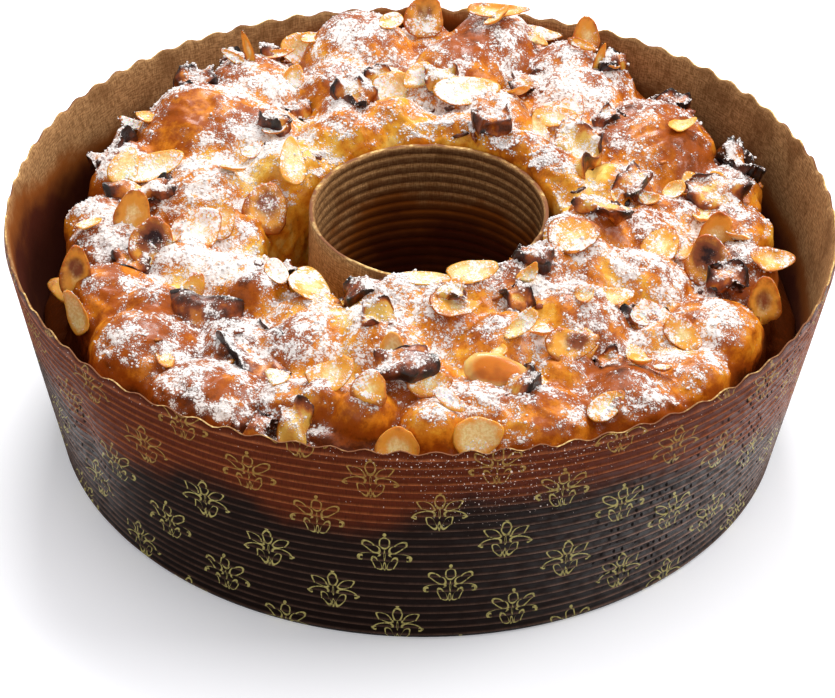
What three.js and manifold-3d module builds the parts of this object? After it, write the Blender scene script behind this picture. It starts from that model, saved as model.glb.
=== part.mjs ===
// Apple ring cake in its own baking case, in millimetres, +Z up.
// The case is fluted paper: a tapered wall with a scalloped rim, a flat ring for a base and a tube
// up the middle. The cake is one lumpy ring of dough with flaked almonds baked onto it, and pieces
// of apple, scorched at their edges, sit in pockets in its crust.
// The origin is on the table under the middle of the case. The front of the cake faces -Y.
import * as THREE from "three";
import { mergeVertices } from "three/addons/utils/BufferGeometryUtils.js";
import Module from "manifold-3d";

const wasm = await Module();
wasm.setup();

// Case
const caseHeight = 66.2;
const rimRadius = 112.5;
const baseRadius = 101.6;
const ovalTwo = 0.025; // share of the radius by which the rim is wider in X than in Y
const ovalFour = -0.006;
const paper = 0.9;
const fluteDepth = 0.7;
const wallFlutes = 24;
const tubeFlutes = 21;
const scallopCount = 78;
const scallopHeight = 1.6;
const tubeTopRadius = 32.8;
const tubeBaseRadius = 34;
const tubeOffset = 2; // the tube stands a little to the right of the middle
const seam = 0.3; // gap between pieces that touch

// Dough ring
const crownHeight = 61.5; // mean height of the crust between the mounds
const crownSwell = 3.5; // the crust is higher at the front and back than at the sides
const collarHeight = 66.5; // height of the crust where it laps up to the tube
const skirtHeight = 30; // the dough fills the case up to here
const frontGap = 2; // the crust stands off the wall by this at the front and back
const sideGap = 11; // and by this at the left and right
const tubeGap = 5.5; // and off the left side of the tube by this
const tubeLap = 3; // mounds taller than the tube may lean over its rim by this
const ringCore = { radius: 68, height: 20 }; // mounds swell away from this circle
const crease = 4; // depth of the creases between mounds
const creaseSoftness = 1.6;

// Divisions
const wallSides = 26;
const tubeSides = 13;
const doughSides = 78; // a whole number for each side of the wall
const crustSteps = 15;
const flakeSides = 6;

// Mounds of dough: angle (degrees from +X, front is 270), distance from the axis, reach, rise
const mounds = [
  [5, 88, 15, 5], [8, 70, 13, 4], [18, 95, 14, 3], [20, 60, 13, 4], [34, 79, 23, 9], [45, 60, 13, 4],
  [55, 79, 16, 6], [56, 95, 13, 4], [62, 92, 15, 7], [69, 56, 14, 5], [77, 94, 18, 9], [82, 80, 16, 6],
  [88, 64, 12, 3], [90, 97, 10, 6], [101, 47, 12, 5], [102, 92, 19, 9], [110, 72, 15, 5], [112, 58, 10, 3],
  [120, 48, 12, 3], [126, 86, 17, 6], [135, 66, 13, 4], [142, 80, 23, 9], [146, 50, 12, 2], [160, 90, 15, 4],
  [162, 66, 17, 4], [175, 92, 13, 4], [178, 50, 12, 2], [183, 86, 17, 5], [190, 66, 14, 3], [199, 89, 16, 5],
  [203, 55, 15, 4], [207, 80, 12, 4], [216, 54, 11, 6], [217, 92, 19, 6], [228, 72, 12, 3], [232, 50, 11, 2],
  [234, 97, 18, 5], [243, 64, 14, 4], [247, 88, 10, 1], [253, 85, 9, 4], [258, 58, 15, 4], [261, 88, 10, 5],
  [269, 74, 12, 2], [272, 91, 10, 4], [276, 48, 11, 3], [281, 83, 12, 2], [290, 93, 16, 4], [291, 62, 14, 4],
  [300, 76, 11, 3], [306, 94, 17, 5], [310, 50, 12, 2], [314, 62, 15, 5], [318, 96, 14, 4], [324, 80, 11, 2],
  [332, 90, 17, 5], [336, 50, 12, 3], [341, 65, 14, 5], [352, 89, 15, 5], [357, 48, 12, 4], [359, 65, 14, 5],
  [30, 42, 12, 5], [46, 41, 11, 5], [60, 41, 10, 4], [76, 42, 11, 3], [92, 41, 10, 3], [115, 42, 11, 3],
  [262, 42, 11, 4], [275, 41, 9, 3], [288, 41, 10, 4], [305, 41, 11, 4], [325, 41, 11, 4], [345, 40, 11, 4],
];

// Pieces of apple: angle, distance from the axis, length, width, thickness, direction of the length,
// direction the face leans to, lean, bend
const applePieces = [
  [217, 74, 24, 16, 5, -10, 250, 35, 100],
  [236, 74, 24, 16, 7, -58, 240, 15, 30],
  [246, 98, 10, 7, 6, 60, 250, 20, 0],
  [251, 94, 13, 10, 8, 80, 260, 30, 20],
  [249, 40, 14, 9, 8, 15, 270, 10, 15],
  [192, 80, 11, 9, 7, 0, 270, 15, 0],
  [168, 79, 19, 12, 9, 15, 250, 15, 10],
  [135, 94, 12, 9, 8, 5, 270, 5, 0],
  [125, 97, 9, 6, 6, -20, 270, 0, 0],
  [119, 94, 10, 6, 5, 90, 270, 60, 0],
  [156, 96, 17, 8, 8, 52, 150, 20, 10],
  [123, 66, 9, 7, 6, 20, 270, 10, 0],
  [135, 60, 9, 6, 6, -30, 270, 10, 0],
  [110, 58, 13, 9, 7, -30, 280, 15, 15],
  [101, 69, 9, 7, 6, 60, 270, 20, 0],
  [85, 62, 11, 8, 7, 20, 270, 10, 0],
  [66, 77, 12, 8, 7, 10, 270, 10, 15],
  [41, 95, 12, 9, 8, -5, 270, 5, 0],
  [22, 97, 17, 8, 8, -60, 30, 20, 10],
  [11, 83, 19, 12, 9, -15, 290, 15, 10],
  [15, 61, 12, 8, 7, 60, 270, 15, 20],
  [41, 70, 9, 6, 6, 40, 270, 10, 0],
  [55, 96, 10, 6, 6, 20, 270, 20, 0],
  [62, 41, 11, 9, 8, 20, 270, 0, 0],
  [346, 85, 11, 9, 7, 0, 270, 15, 0],
  [317, 41, 11, 8, 7, -30, 270, 10, 10],
  [301, 50, 10, 7, 6, -60, 270, 10, 0],
  [354, 50, 15, 5, 6, -15, 270, 10, 40],
  [325, 72, 13, 9, 7, -10, 270, 10, 15],
  [309, 78, 9, 7, 7, 30, 270, 20, 0],
  [267, 75, 17, 12, 8, 10, 270, 20, 45],
  [288, 82, 12, 9, 8, 50, 270, 25, 10],
  [280, 46, 8, 6, 5, 0, 270, 10, 0],
  [214, 46, 13, 9, 7, 20, 250, 15, 0],
  [31, 50, 18, 14, 9, 70, 240, 20, 15],
  [259, 56, 10, 8, 6, 0, 270, 10, 0],
];
const appleStands = 0.3; // share of a piece's thickness by which its middle is above the crust

// Flaked almonds: angle, distance from the axis, length, width, direction of the length,
// direction the face leans to, lean
const almondFlakes = [
  [270, 39, 16, 9, 0, 90, 15],
  [290, 40, 14, 8, 15, 270, 15],
  [157, 46, 14, 12, 90, 290, 52],
  [140, 42, 15, 8, 100, 300, 35],
  [156, 81, 17, 10, 20, 270, 20],
  [161, 88, 14, 7, 75, 300, 30],
  [176, 81, 13, 10, 80, 270, 60],
  [185, 73, 13, 12, 90, 290, 45],
  [176, 62, 13, 10, 50, 270, 20],
  [174, 55, 12, 8, 80, 270, 25],
  [184, 96, 13, 8, 150, 200, 25],
  [193, 95, 15, 9, 80, 250, 60],
  [203, 97, 14, 7, 110, 240, 65],
  [204, 69, 14, 10, 50, 260, 30],
  [192, 43, 15, 12, 60, 330, 25],
  [226, 45, 17, 11, 100, 20, 20],
  [284, 47, 16, 12, 0, 270, 10],
  [284, 71, 19, 12, -10, 260, 25],
  [267, 96, 12, 10, 90, 270, 55],
  [280, 93, 14, 12, 20, 270, 55],
  [309, 66, 13, 10, 10, 270, 20],
  [303, 70, 12, 8, 60, 240, 40],
  [345, 44, 15, 12, 0, 270, 20],
  [331, 70, 14, 9, -20, 270, 20],
  [327, 82, 14, 9, -40, 270, 25],
  [353, 77, 13, 12, 90, 250, 45],
  [4, 80, 13, 10, 80, 270, 60],
  [20, 82, 17, 10, -20, 270, 20],
  [17, 89, 14, 7, 100, 240, 30],
  [354, 98, 14, 8, 35, 330, 25],
  [345, 97, 15, 9, 100, 290, 60],
  [96, 65, 17, 14, 10, 270, 35],
  [97, 80, 15, 8, -20, 270, 15],
  [77, 78, 15, 7, 10, 270, 25],
  [76, 66, 17, 10, 5, 270, 15],
  [56, 68, 14, 9, 20, 260, 20],
  [49, 62, 12, 9, 70, 300, 25],
  [51, 50, 13, 9, 0, 270, 20],
  [90, 93, 13, 11, 80, 270, 50],
  [74, 96, 15, 6, 0, 270, 10],
  [61, 98, 12, 8, 80, 260, 60],
  [111, 99, 15, 10, 40, 300, 40],
  [146, 96, 14, 5, -20, 270, 30],
  [297, 96, 11, 8, 30, 270, 30],
];
const flakeThickness = 1.1;
const flakeCup = 0.9; // the middle of a flake lies this much lower than its ends

const degrees = THREE.MathUtils.degToRad;
const { clamp, lerp, smoothstep } = THREE.MathUtils;

// The outside of the wall, without its flutes
function wallRadius(angle, z) {
  const up = z / caseHeight;
  const oval = ovalTwo * Math.cos(2 * angle) + ovalFour * Math.cos(4 * angle);
  return lerp(baseRadius, rimRadius, up) * (1 + up * oval);
}

function wallInside(angle, z) {
  return wallRadius(angle, z) - fluteDepth - paper;
}

// What lies against the flat sides of the wall keeps a seam off them
function insideFacets(angle, z) {
  const side = (Math.PI * 2) / wallSides;
  const offMiddle = (angle % side) - side / 2;
  return (wallInside(angle, z) * Math.cos(side / 2)) / Math.cos(offMiddle) - seam;
}

// Distance from the case's axis to the outside of the tube, which stands off that axis
function tubeOutside(angle, z) {
  const radius = lerp(tubeBaseRadius, tubeTopRadius, Math.min(z / caseHeight, 1));
  const across = tubeOffset * Math.sin(angle);
  return tubeOffset * Math.cos(angle) + Math.sqrt(radius * radius - across * across);
}

// A hoop of points round the axis, whose radius and height are functions of the angle
function hoop(count, radiusAt, heightAt, centreX = 0) {
  return Array.from({ length: count }, (_, i) => {
    const angle = (i / count) * Math.PI * 2;
    const radius = radiusAt(angle);
    return new THREE.Vector3(centreX + radius * Math.cos(angle), radius * Math.sin(angle), heightAt(angle));
  });
}

// A closed body skinned over hoops, which run down its inner side, out along its bottom and up its
// outer side. A hoop may have a whole number of times as many points as its neighbour.
function hoopBody(hoops) {
  const starts = [];
  let total = 0;
  for (const points of hoops) {
    starts.push(total);
    total += points.length;
  }
  const faces = [];
  hoops.forEach((points, j) => {
    const above = (j + 1) % hoops.length;
    const fine = Math.max(points.length, hoops[above].length);
    const at = (k, which) => {
      const count = hoops[which].length;
      return starts[which] + (Math.round((k * count) / fine) % count);
    };
    for (let k = 0; k < fine; k += 1) {
      const [a, b] = [at(k, j), at(k + 1, j)];
      const [c, d] = [at(k + 1, above), at(k, above)];
      if (a !== b) {
        faces.push(a, b, c);
      }
      if (c !== d) {
        faces.push(a, c, d);
      }
    }
  });
  const positions = hoops.flatMap((points) => points.flatMap((point) => point.toArray()));
  const geometry = new THREE.BufferGeometry();
  geometry.setAttribute("position", new THREE.Float32BufferAttribute(positions, 3));
  geometry.setIndex(faces);
  return geometry;
}

function toSolid(geometry) {
  const bare = geometry.clone();
  bare.deleteAttribute("normal");
  bare.deleteAttribute("uv");
  const merged = mergeVertices(bare, 1e-4);
  const vertProperties = new Float32Array(merged.attributes.position.array);
  const triVerts = new Uint32Array(merged.index.array);
  return new wasm.Manifold(new wasm.Mesh({ numProp: 3, vertProperties, triVerts }));
}

function toGeometry(solid) {
  const mesh = solid.getMesh();
  const geometry = new THREE.BufferGeometry();
  geometry.setAttribute("position", new THREE.BufferAttribute(mesh.vertProperties, 3));
  geometry.setIndex(new THREE.BufferAttribute(mesh.triVerts, 1));
  return geometry;
}

function largestBody(solid) {
  return solid.decompose().reduce((best, body) => (body.volume() > best.volume() ? body : best));
}

// Heights of the crests and troughs of the flutes from one height to another
function fluteHeights(count, from, to) {
  return Array.from({ length: count * 2 }, (_, k) => lerp(from, to, k / (count * 2 - 1)));
}

// The wall is fluted outside and smooth inside, and its rim is cut in scallops
function caseWall() {
  const edge = caseHeight - 2;
  const scallop = (angle) => caseHeight + (scallopHeight / 2) * Math.cos(scallopCount * angle);
  const inside = (count, height) => hoop(count, (angle) => wallInside(angle, height), () => height);
  const flutes = fluteHeights(wallFlutes, 0, edge).map((height, k) => {
    const cut = k % 2 ? 0 : fluteDepth;
    return hoop(wallSides, (angle) => wallRadius(angle, height) - cut, () => height);
  });
  const rimPoints = scallopCount * 2;
  return hoopBody([
    hoop(rimPoints, (angle) => wallInside(angle, caseHeight), scallop),
    inside(wallSides, edge),
    inside(wallSides, 0),
    ...flutes,
    hoop(rimPoints, (angle) => wallRadius(angle, caseHeight) - fluteDepth, scallop),
  ]);
}

// The tube is fluted on the side that faces its hole
function caseTube() {
  const radiusAt = (height) => lerp(tubeBaseRadius, tubeTopRadius, height / caseHeight);
  const level = (height, cut) => hoop(tubeSides, () => radiusAt(height) - cut, () => height, tubeOffset);
  const flutes = fluteHeights(tubeFlutes, caseHeight, 0).map((height, k) =>
    level(height, paper + (k % 2 ? fluteDepth : 0)),
  );
  return hoopBody([...flutes, level(0, 0), level(caseHeight, 0)]);
}

function caseBase() {
  const inner = (height) => hoop(wallSides, (angle) => tubeOutside(angle, 0) + 2 * seam, () => height);
  const outer = (height) => hoop(wallSides, (angle) => wallInside(angle, 0) - seam, () => height);
  return hoopBody([inner(paper), inner(0), outer(0), outer(paper)]);
}

// How far the crust stands off the wall and off the tube
function wallGap(angle) {
  return frontGap + (sideGap - frontGap) * ((1 + Math.cos(2 * angle)) / 2) ** 2;
}

function shareOffTube(angle) {
  const fromLeft = Math.acos(Math.cos(angle - degrees(200)));
  return 1 - smoothstep(fromLeft, degrees(20), degrees(60));
}

// The section of the crust at an angle, before the mounds: from the tube, over the top, to the wall
function crustLine(angle) {
  const top = crownHeight - crownSwell * Math.cos(2 * angle);
  const off = shareOffTube(angle);
  const inner = tubeOutside(angle, top) + 2 * seam + tubeGap * off;
  const outer = wallInside(angle, top) - wallGap(angle);
  return new THREE.SplineCurve([
    new THREE.Vector2(tubeOutside(angle, skirtHeight) + seam * 2, skirtHeight),
    new THREE.Vector2(inner, lerp(collarHeight - 5, top - 15, off)),
    new THREE.Vector2(inner + 4, lerp(collarHeight, top - 3, off)),
    new THREE.Vector2(inner + 13, lerp(collarHeight + 1, top, off)),
    new THREE.Vector2((inner + outer) / 2, top + 1),
    new THREE.Vector2(outer - 15, top),
    new THREE.Vector2(outer - 3, top - 4),
    new THREE.Vector2(outer, top - 14),
    new THREE.Vector2(insideFacets(angle, skirtHeight), skirtHeight),
  ]);
}

function crustPoint(angle, along) {
  const flat = crustLine(angle).getPoint(along);
  return new THREE.Vector3(flat.x * Math.cos(angle), flat.x * Math.sin(angle), flat.y);
}

// Where along the crust line a point at this distance from the axis lies, by halving
function alongAt(radius, radiusAt) {
  let low = 0.15;
  let high = 0.85;
  for (let i = 0; i < 20; i += 1) {
    const middle = (low + high) / 2;
    if (radiusAt(middle) < radius) {
      low = middle;
    } else {
      high = middle;
    }
  }
  return (low + high) / 2;
}

const moundCentres = mounds.map(([angle, radius]) => {
  const turn = degrees(angle);
  return crustPoint(turn, alongAt(radius, (along) => crustLine(turn).getPoint(along).x));
});

// Height of the mounds over the crust: the highest of all, with soft creases where two meet
function swell(point) {
  let height = -crease;
  mounds.forEach(([, , reach, rise], i) => {
    const away = point.distanceTo(moundCentres[i]) / reach;
    const dome = rise * (1 - away * away) - crease * away * away;
    const blend = Math.max(creaseSoftness - Math.abs(dome - height), 0) / creaseSoftness;
    height = Math.max(dome, height) + (blend * blend * creaseSoftness) / 4;
  });
  return height;
}

function doughPoint(angle, along) {
  const point = crustPoint(angle, along);
  const radius = Math.hypot(point.x, point.y);
  const out = new THREE.Vector2(radius - ringCore.radius, point.z - ringCore.height).normalize();
  const amount = swell(point) * smoothstep(point.z, skirtHeight, skirtHeight + 12);
  const height = point.z + out.y * amount;
  const lap = tubeLap * smoothstep(height, caseHeight + 1, caseHeight + 3);
  const inside = tubeOutside(angle, height) + seam * 2 - lap;
  const outside = insideFacets(angle, height);
  const swollen = clamp(radius + out.x * amount, inside, outside);
  return new THREE.Vector3(swollen * Math.cos(angle), swollen * Math.sin(angle), height);
}

function doughRing() {
  const floor = paper + seam;
  const step = (Math.PI * 2) / doughSides;
  const level = (along) => Array.from({ length: doughSides }, (_, i) => doughPoint(i * step, along));
  const crust = Array.from({ length: crustSteps + 1 }, (_, j) => level(1 - j / crustSteps));
  return hoopBody([
    ...crust,
    hoop(doughSides, (angle) => tubeOutside(angle, floor) + seam * 2, () => floor),
    hoop(doughSides, (angle) => insideFacets(angle, floor), () => floor),
  ]);
}

// A spot on the dough's surface at an angle and distance from the axis
function spotOnDough(angle, radius) {
  const distance = (along) => {
    const point = doughPoint(angle, along);
    return Math.hypot(point.x, point.y);
  };
  return doughPoint(angle, alongAt(radius, distance));
}

// Turns a topping's length to one direction and leans its face towards another
function facing(direction, leansTo, lean) {
  const turn = new THREE.Quaternion().setFromAxisAngle(new THREE.Vector3(0, 0, 1), degrees(direction));
  const axis = new THREE.Vector3(-Math.sin(degrees(leansTo)), Math.cos(degrees(leansTo)), 0);
  return new THREE.Quaternion().setFromAxisAngle(axis, degrees(lean)).multiply(turn);
}

// A slice of apple, narrower at its ends and thinner at its edges, bent along its length
function appleSolid(length, width, thickness, bend, growth) {
  const geometry = new THREE.BoxGeometry(1, 1, 1, 3, 2, 1);
  const place = geometry.attributes.position;
  const bendRadius = bend > 0 ? length / degrees(bend) : 0;
  for (let i = 0; i < place.count; i += 1) {
    const end = Math.abs(place.getX(i) * 2);
    const edge = Math.abs(place.getY(i) * 2);
    const x = place.getX(i) * (length + growth);
    const y = place.getY(i) * (width + growth) * (1 - 0.4 * end * end);
    const z = place.getZ(i) * (thickness + growth) * (1 - 0.35 * edge) * (1 - 0.3 * end * end);
    if (bendRadius > 0) {
      const swing = x / bendRadius;
      place.setXYZ(i, (bendRadius + z) * Math.sin(swing), y, (bendRadius + z) * Math.cos(swing) - bendRadius);
    } else {
      place.setXYZ(i, x, y, z);
    }
  }
  return geometry;
}

// A flake: a thin oval, pointed at one end, cupped, and as thick at the rim as in the middle
function almondSolid(length, width) {
  const positions = [];
  const faces = [];
  const cup = (x) => flakeCup * ((2 * x) / length) ** 2;
  for (const side of [0.5, -0.5]) {
    positions.push(0, 0, side * flakeThickness);
    for (let i = 0; i < flakeSides; i += 1) {
      const turn = (i / flakeSides) * Math.PI * 2;
      const x = (length / 2) * Math.cos(turn);
      const y = (width / 2) * Math.sin(turn) * (1 - 0.2 * Math.cos(turn));
      positions.push(x, y, side * flakeThickness + cup(x));
    }
  }
  const lower = flakeSides + 1;
  for (let i = 0; i < flakeSides; i += 1) {
    const a = 1 + i;
    const b = 1 + ((i + 1) % flakeSides);
    faces.push(0, a, b, lower, lower + b, lower + a);
    faces.push(a, lower + a, lower + b, a, lower + b, b);
  }
  const geometry = new THREE.BufferGeometry();
  geometry.setAttribute("position", new THREE.Float32BufferAttribute(positions, 3));
  geometry.setIndex(faces);
  return geometry;
}

function placedAt(geometry, position, quaternion) {
  const matrix = new THREE.Matrix4().compose(position, quaternion, new THREE.Vector3(1, 1, 1));
  return geometry.clone().applyMatrix4(matrix);
}

// Half of a leaning flake stands clear of the crust, and its lower edge is baked into it
function almondPlaces() {
  return almondFlakes.map(([angle, radius, length, width, direction, leansTo, lean]) => {
    const position = spotOnDough(degrees(angle), radius);
    position.z += 0.25 * length * Math.sin(degrees(lean)) + 0.2;
    return placedAt(almondSolid(length, width), position, facing(direction, leansTo, lean));
  });
}

function applePlace([angle, radius, , , thickness, direction, leansTo, lean]) {
  const position = spotOnDough(degrees(angle), radius);
  position.z += appleStands * thickness;
  return { position, quaternion: facing(direction, leansTo, lean) };
}

// The room that the case and a thin gap round it take: toppings that reach into it are cut back
function caseRoom() {
  const gap = seam / 2;
  const top = caseHeight + scallopHeight / 2 + gap;
  const core = (height) => hoop(tubeSides, () => tubeTopRadius / 2, () => height, tubeOffset);
  const tube = (height) => hoop(tubeSides, () => tubeBaseRadius + gap, () => height, tubeOffset);
  const wall = (height) => hoop(wallSides, (angle) => wallInside(angle, height) - gap, () => height);
  const far = (height) => hoop(wallSides, () => rimRadius * 1.2, () => height);
  const tubeSide = hoopBody([core(top), core(0), tube(0), tube(top)]);
  const wallSide = hoopBody([wall(top), wall(0), far(0), far(top)]);
  return toSolid(tubeSide).add(toSolid(wallSide));
}

function cakeSolid() {
  let cake = toSolid(doughRing());
  for (const flake of almondPlaces()) {
    cake = cake.add(toSolid(flake));
  }
  for (const piece of applePieces) {
    const [, , length, width, thickness, , , , bend] = piece;
    const { position, quaternion } = applePlace(piece);
    const pocket = placedAt(appleSolid(length, width, thickness, bend, 3 * seam), position, quaternion);
    cake = cake.subtract(toSolid(pocket));
  }
  return toGeometry(largestBody(cake.subtract(caseRoom())));
}

function surface(color, roughness) {
  return new THREE.MeshStandardMaterial({ color, roughness, metalness: 0 });
}

const wallPaper = surface(0x3c2420, 0.5);
const kraftPaper = surface(0xa87c4c, 0.8);
const crust = surface(0xc98a4b, 0.55);
const apple = surface(0x8a5a34, 0.45);

function named(name, geometry, material) {
  const mesh = new THREE.Mesh(geometry, material);
  mesh.name = name;
  return mesh;
}

const group = new THREE.Group();
group.add(named("case_wall", caseWall(), wallPaper));
group.add(named("case_base", caseBase(), kraftPaper));
group.add(named("case_tube", caseTube(), kraftPaper));
group.add(named("cake", cakeSolid(), crust));
applePieces.forEach((piece, i) => {
  const [, , length, width, thickness, , , , bend] = piece;
  const mesh = named(`apple_${String(i + 1).padStart(2, "0")}`, appleSolid(length, width, thickness, bend, 0), apple);
  const { position, quaternion } = applePlace(piece);
  mesh.position.copy(position);
  mesh.quaternion.copy(quaternion);
  group.add(mesh);
});

export default group;
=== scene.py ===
import math

import bmesh
import bpy
import numpy as np
from mathutils import Matrix, Vector, noise


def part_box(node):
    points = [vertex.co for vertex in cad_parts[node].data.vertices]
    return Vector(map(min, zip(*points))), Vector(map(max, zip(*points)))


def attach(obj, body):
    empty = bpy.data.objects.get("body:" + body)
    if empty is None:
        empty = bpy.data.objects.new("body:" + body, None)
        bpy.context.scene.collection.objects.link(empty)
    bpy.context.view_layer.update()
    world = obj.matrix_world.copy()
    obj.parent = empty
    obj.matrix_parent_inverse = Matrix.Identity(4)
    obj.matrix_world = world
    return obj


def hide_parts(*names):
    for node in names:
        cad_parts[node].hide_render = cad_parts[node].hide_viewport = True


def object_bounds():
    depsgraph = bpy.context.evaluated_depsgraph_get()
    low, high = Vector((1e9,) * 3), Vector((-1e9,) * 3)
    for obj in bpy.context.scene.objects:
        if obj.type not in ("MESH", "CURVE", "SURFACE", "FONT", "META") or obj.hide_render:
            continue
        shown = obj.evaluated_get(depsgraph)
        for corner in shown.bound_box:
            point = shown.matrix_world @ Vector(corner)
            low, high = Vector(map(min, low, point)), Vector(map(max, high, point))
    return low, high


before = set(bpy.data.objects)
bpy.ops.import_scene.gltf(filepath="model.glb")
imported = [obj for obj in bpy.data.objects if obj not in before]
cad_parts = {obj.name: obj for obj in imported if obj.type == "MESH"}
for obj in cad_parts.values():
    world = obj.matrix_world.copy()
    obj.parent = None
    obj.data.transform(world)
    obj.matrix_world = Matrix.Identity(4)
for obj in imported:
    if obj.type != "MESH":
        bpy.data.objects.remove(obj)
cad_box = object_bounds()


# --- Wall of the baking case ---------------------------------------------------------------------
# A band of fluted paper, printed dark brown with a gold ornament outside and bare kraft inside,
# wound into a tapered ring and cut in scallops along its rim. Fat from the cake has soaked into
# its upper part, which looks redder there.

MM = 0.001
case_height = 66.2
rim_radius = 112.5
base_radius = 101.6
oval_two = 0.025
oval_four = -0.006
paper = 0.9
rim_paper = 0.45
flute_depth = 0.7
wall_flutes = 24
scallop_count = 78
scallop_height = 1.6
scallop_foot = case_height - 2
wall_steps = scallop_count * 6
seam_gap = 0.3
print_radius = 107
front = 1.5 * math.pi


def smooth_share(value, low, high):
    """0 below low and 1 above high, with soft ends."""
    share = np.clip((value - low) / (high - low), 0, 1)
    return share * share * (3 - 2 * share)


def turn_from(angle, middle):
    """The turn from one angle to another, from half a turn back to half a turn on."""
    return (angle - middle + math.pi) % math.tau - math.pi


def wall_lean(height):
    """Radius of the round cone that the wall is wound on."""
    return base_radius + (rim_radius - base_radius) * height / case_height


def wall_radius(angle, height):
    """Distance from the axis to the crests of the flutes."""
    up = height / case_height
    oval = oval_two * np.cos(2 * angle) + oval_four * np.cos(4 * angle)
    return wall_lean(height) * (1 + up * oval)


def wall_inside(angle, height):
    return wall_radius(angle, height) - flute_depth - paper


def ring_of(section, steps):
    """A closed section of points (distance, height), carried once round the axis as a woven grid."""
    ring = bmesh.new()
    bmesh.ops.create_grid(ring, x_segments=steps, y_segments=len(section), size=0.5)
    closed = section + section[:1]
    for point in ring.verts:
        angle = (point.co.x + 0.5) * math.tau
        distance, height = closed[round((point.co.y + 0.5) * len(section))]
        point.co = (distance * math.cos(angle), distance * math.sin(angle), height)
    borders = [point for point in ring.verts if point.is_boundary]
    bmesh.ops.remove_doubles(ring, verts=borders, dist=1e-4)
    bmesh.ops.recalc_face_normals(ring, faces=ring.faces)
    return ring


def as_mesh(shape, name):
    """The finished bmesh as a smooth mesh."""
    mesh = bpy.data.meshes.new(name)
    shape.to_mesh(mesh)
    shape.free()
    mesh.shade_smooth()
    return mesh


def read_all(parts, label, width=1, kind=float):
    """What all the vertices, corners or faces of a mesh hold under one label."""
    numbers = np.empty(len(parts) * width, kind)
    parts.foreach_get(label, numbers)
    return numbers.reshape(-1, width) if width > 1 else numbers


def read_places(mesh):
    return read_all(mesh.vertices, "co", 3)


def move_to(mesh, places):
    """Gives the mesh its final places, from millimetres to metres."""
    mesh.vertices.foreach_set("co", (places * MM).ravel())
    mesh.update()


def note_values(mesh, name, values):
    """Keeps one number for each vertex, which a material reads by its name."""
    kept = mesh.attributes.get(name) or mesh.attributes.new(name, "FLOAT", "POINT")
    kept.data.foreach_set("value", values.astype(np.float32))


def round_place(distance, angle, height):
    """Places given by distance from the axis, angle and height."""
    return np.stack([distance * np.cos(angle), distance * np.sin(angle), height], axis=-1)


def noise_round(angle, lumps, start=0.0):
    """Soft noise from -1 to 1 that closes on itself round the axis, finer with more lumps."""
    places = round_place(lumps, angle, np.full_like(angle, start))
    return np.array([noise.noise(Vector(place)) for place in places])


def unroll(mesh, angle, height, seam_at):
    """A UV map of the paper laid flat, in millimetres: along the band from the front, and up it."""
    corner_of = read_all(mesh.loops, "vertex_index", kind=int)
    face_start = read_all(mesh.polygons, "loop_start", kind=int)
    face_size = read_all(mesh.polygons, "loop_total", kind=int)
    first = angle[corner_of[face_start]]
    opposite = angle[corner_of[face_start + 2]]
    middle = np.repeat(first + turn_from(opposite, first) / 2, face_size)
    turn = turn_from(middle, seam_at + math.pi) + turn_from(angle[corner_of], middle)
    along = (turn - turn_from(front, seam_at + math.pi)) * print_radius
    flat = np.stack([along, height[corner_of]], axis=1)
    mesh.uv_layers.new(name="unrolled").data.foreach_set("uv", flat.ravel())


def as_piece(name, mesh, slot, *replaced):
    """Puts the piece in the scene, on the cake's one body, in the place of its solids."""
    piece = bpy.data.objects.new(name, mesh)
    bpy.context.scene.collection.objects.link(piece)
    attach(piece, "root")
    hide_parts(*replaced)
    return piece


flute_pitch = 2 * scallop_foot / (2 * wall_flutes - 1)
flute_shares = (0, 0.07, 0.2, 0.5, 0.8, 0.93)
rim_band = 0.9
inside_rows = 24


def flute_at(height):
    """Depth of the grooves between the sharp crests of the flutes."""
    share = (height / flute_pitch - 0.5) % 1
    return flute_depth * np.sin(math.pi * share) ** 0.75


def paper_at(height):
    """Thickness of the paper, which is pressed thinner along its cut rim."""
    return rim_paper + (paper - rim_paper) * min((case_height - height) / 2, 1)


flute_rises = [(i + share - 0.5) * flute_pitch for i in range(wall_flutes) for share in flute_shares]
outside_rises = [0] + [rise for rise in flute_rises if 0 < rise < scallop_foot] + [scallop_foot]
wall_section = [(wall_lean(rise) - flute_at(rise), rise) for rise in outside_rises]
rim_rises = (case_height - rim_band, case_height)
wall_section += [(wall_lean(rise) - flute_depth, rise) for rise in rim_rises]
rim_inside = np.linspace(case_height, scallop_foot, 3)
inside_rises = [*rim_inside, *np.linspace(scallop_foot - 2, 0, inside_rows)]
wall_section += [(wall_lean(rise) - flute_depth - paper_at(rise), rise) for rise in inside_rises]

wall_mesh = as_mesh(ring_of(wall_section, wall_steps), "case_wall_paper")
spun = read_places(wall_mesh)
wall_angle = np.arctan2(spun[:, 1], spun[:, 0])
wall_height = spun[:, 2]
wall_depth = wall_lean(wall_height) - np.hypot(spun[:, 0], spun[:, 1])

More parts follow.
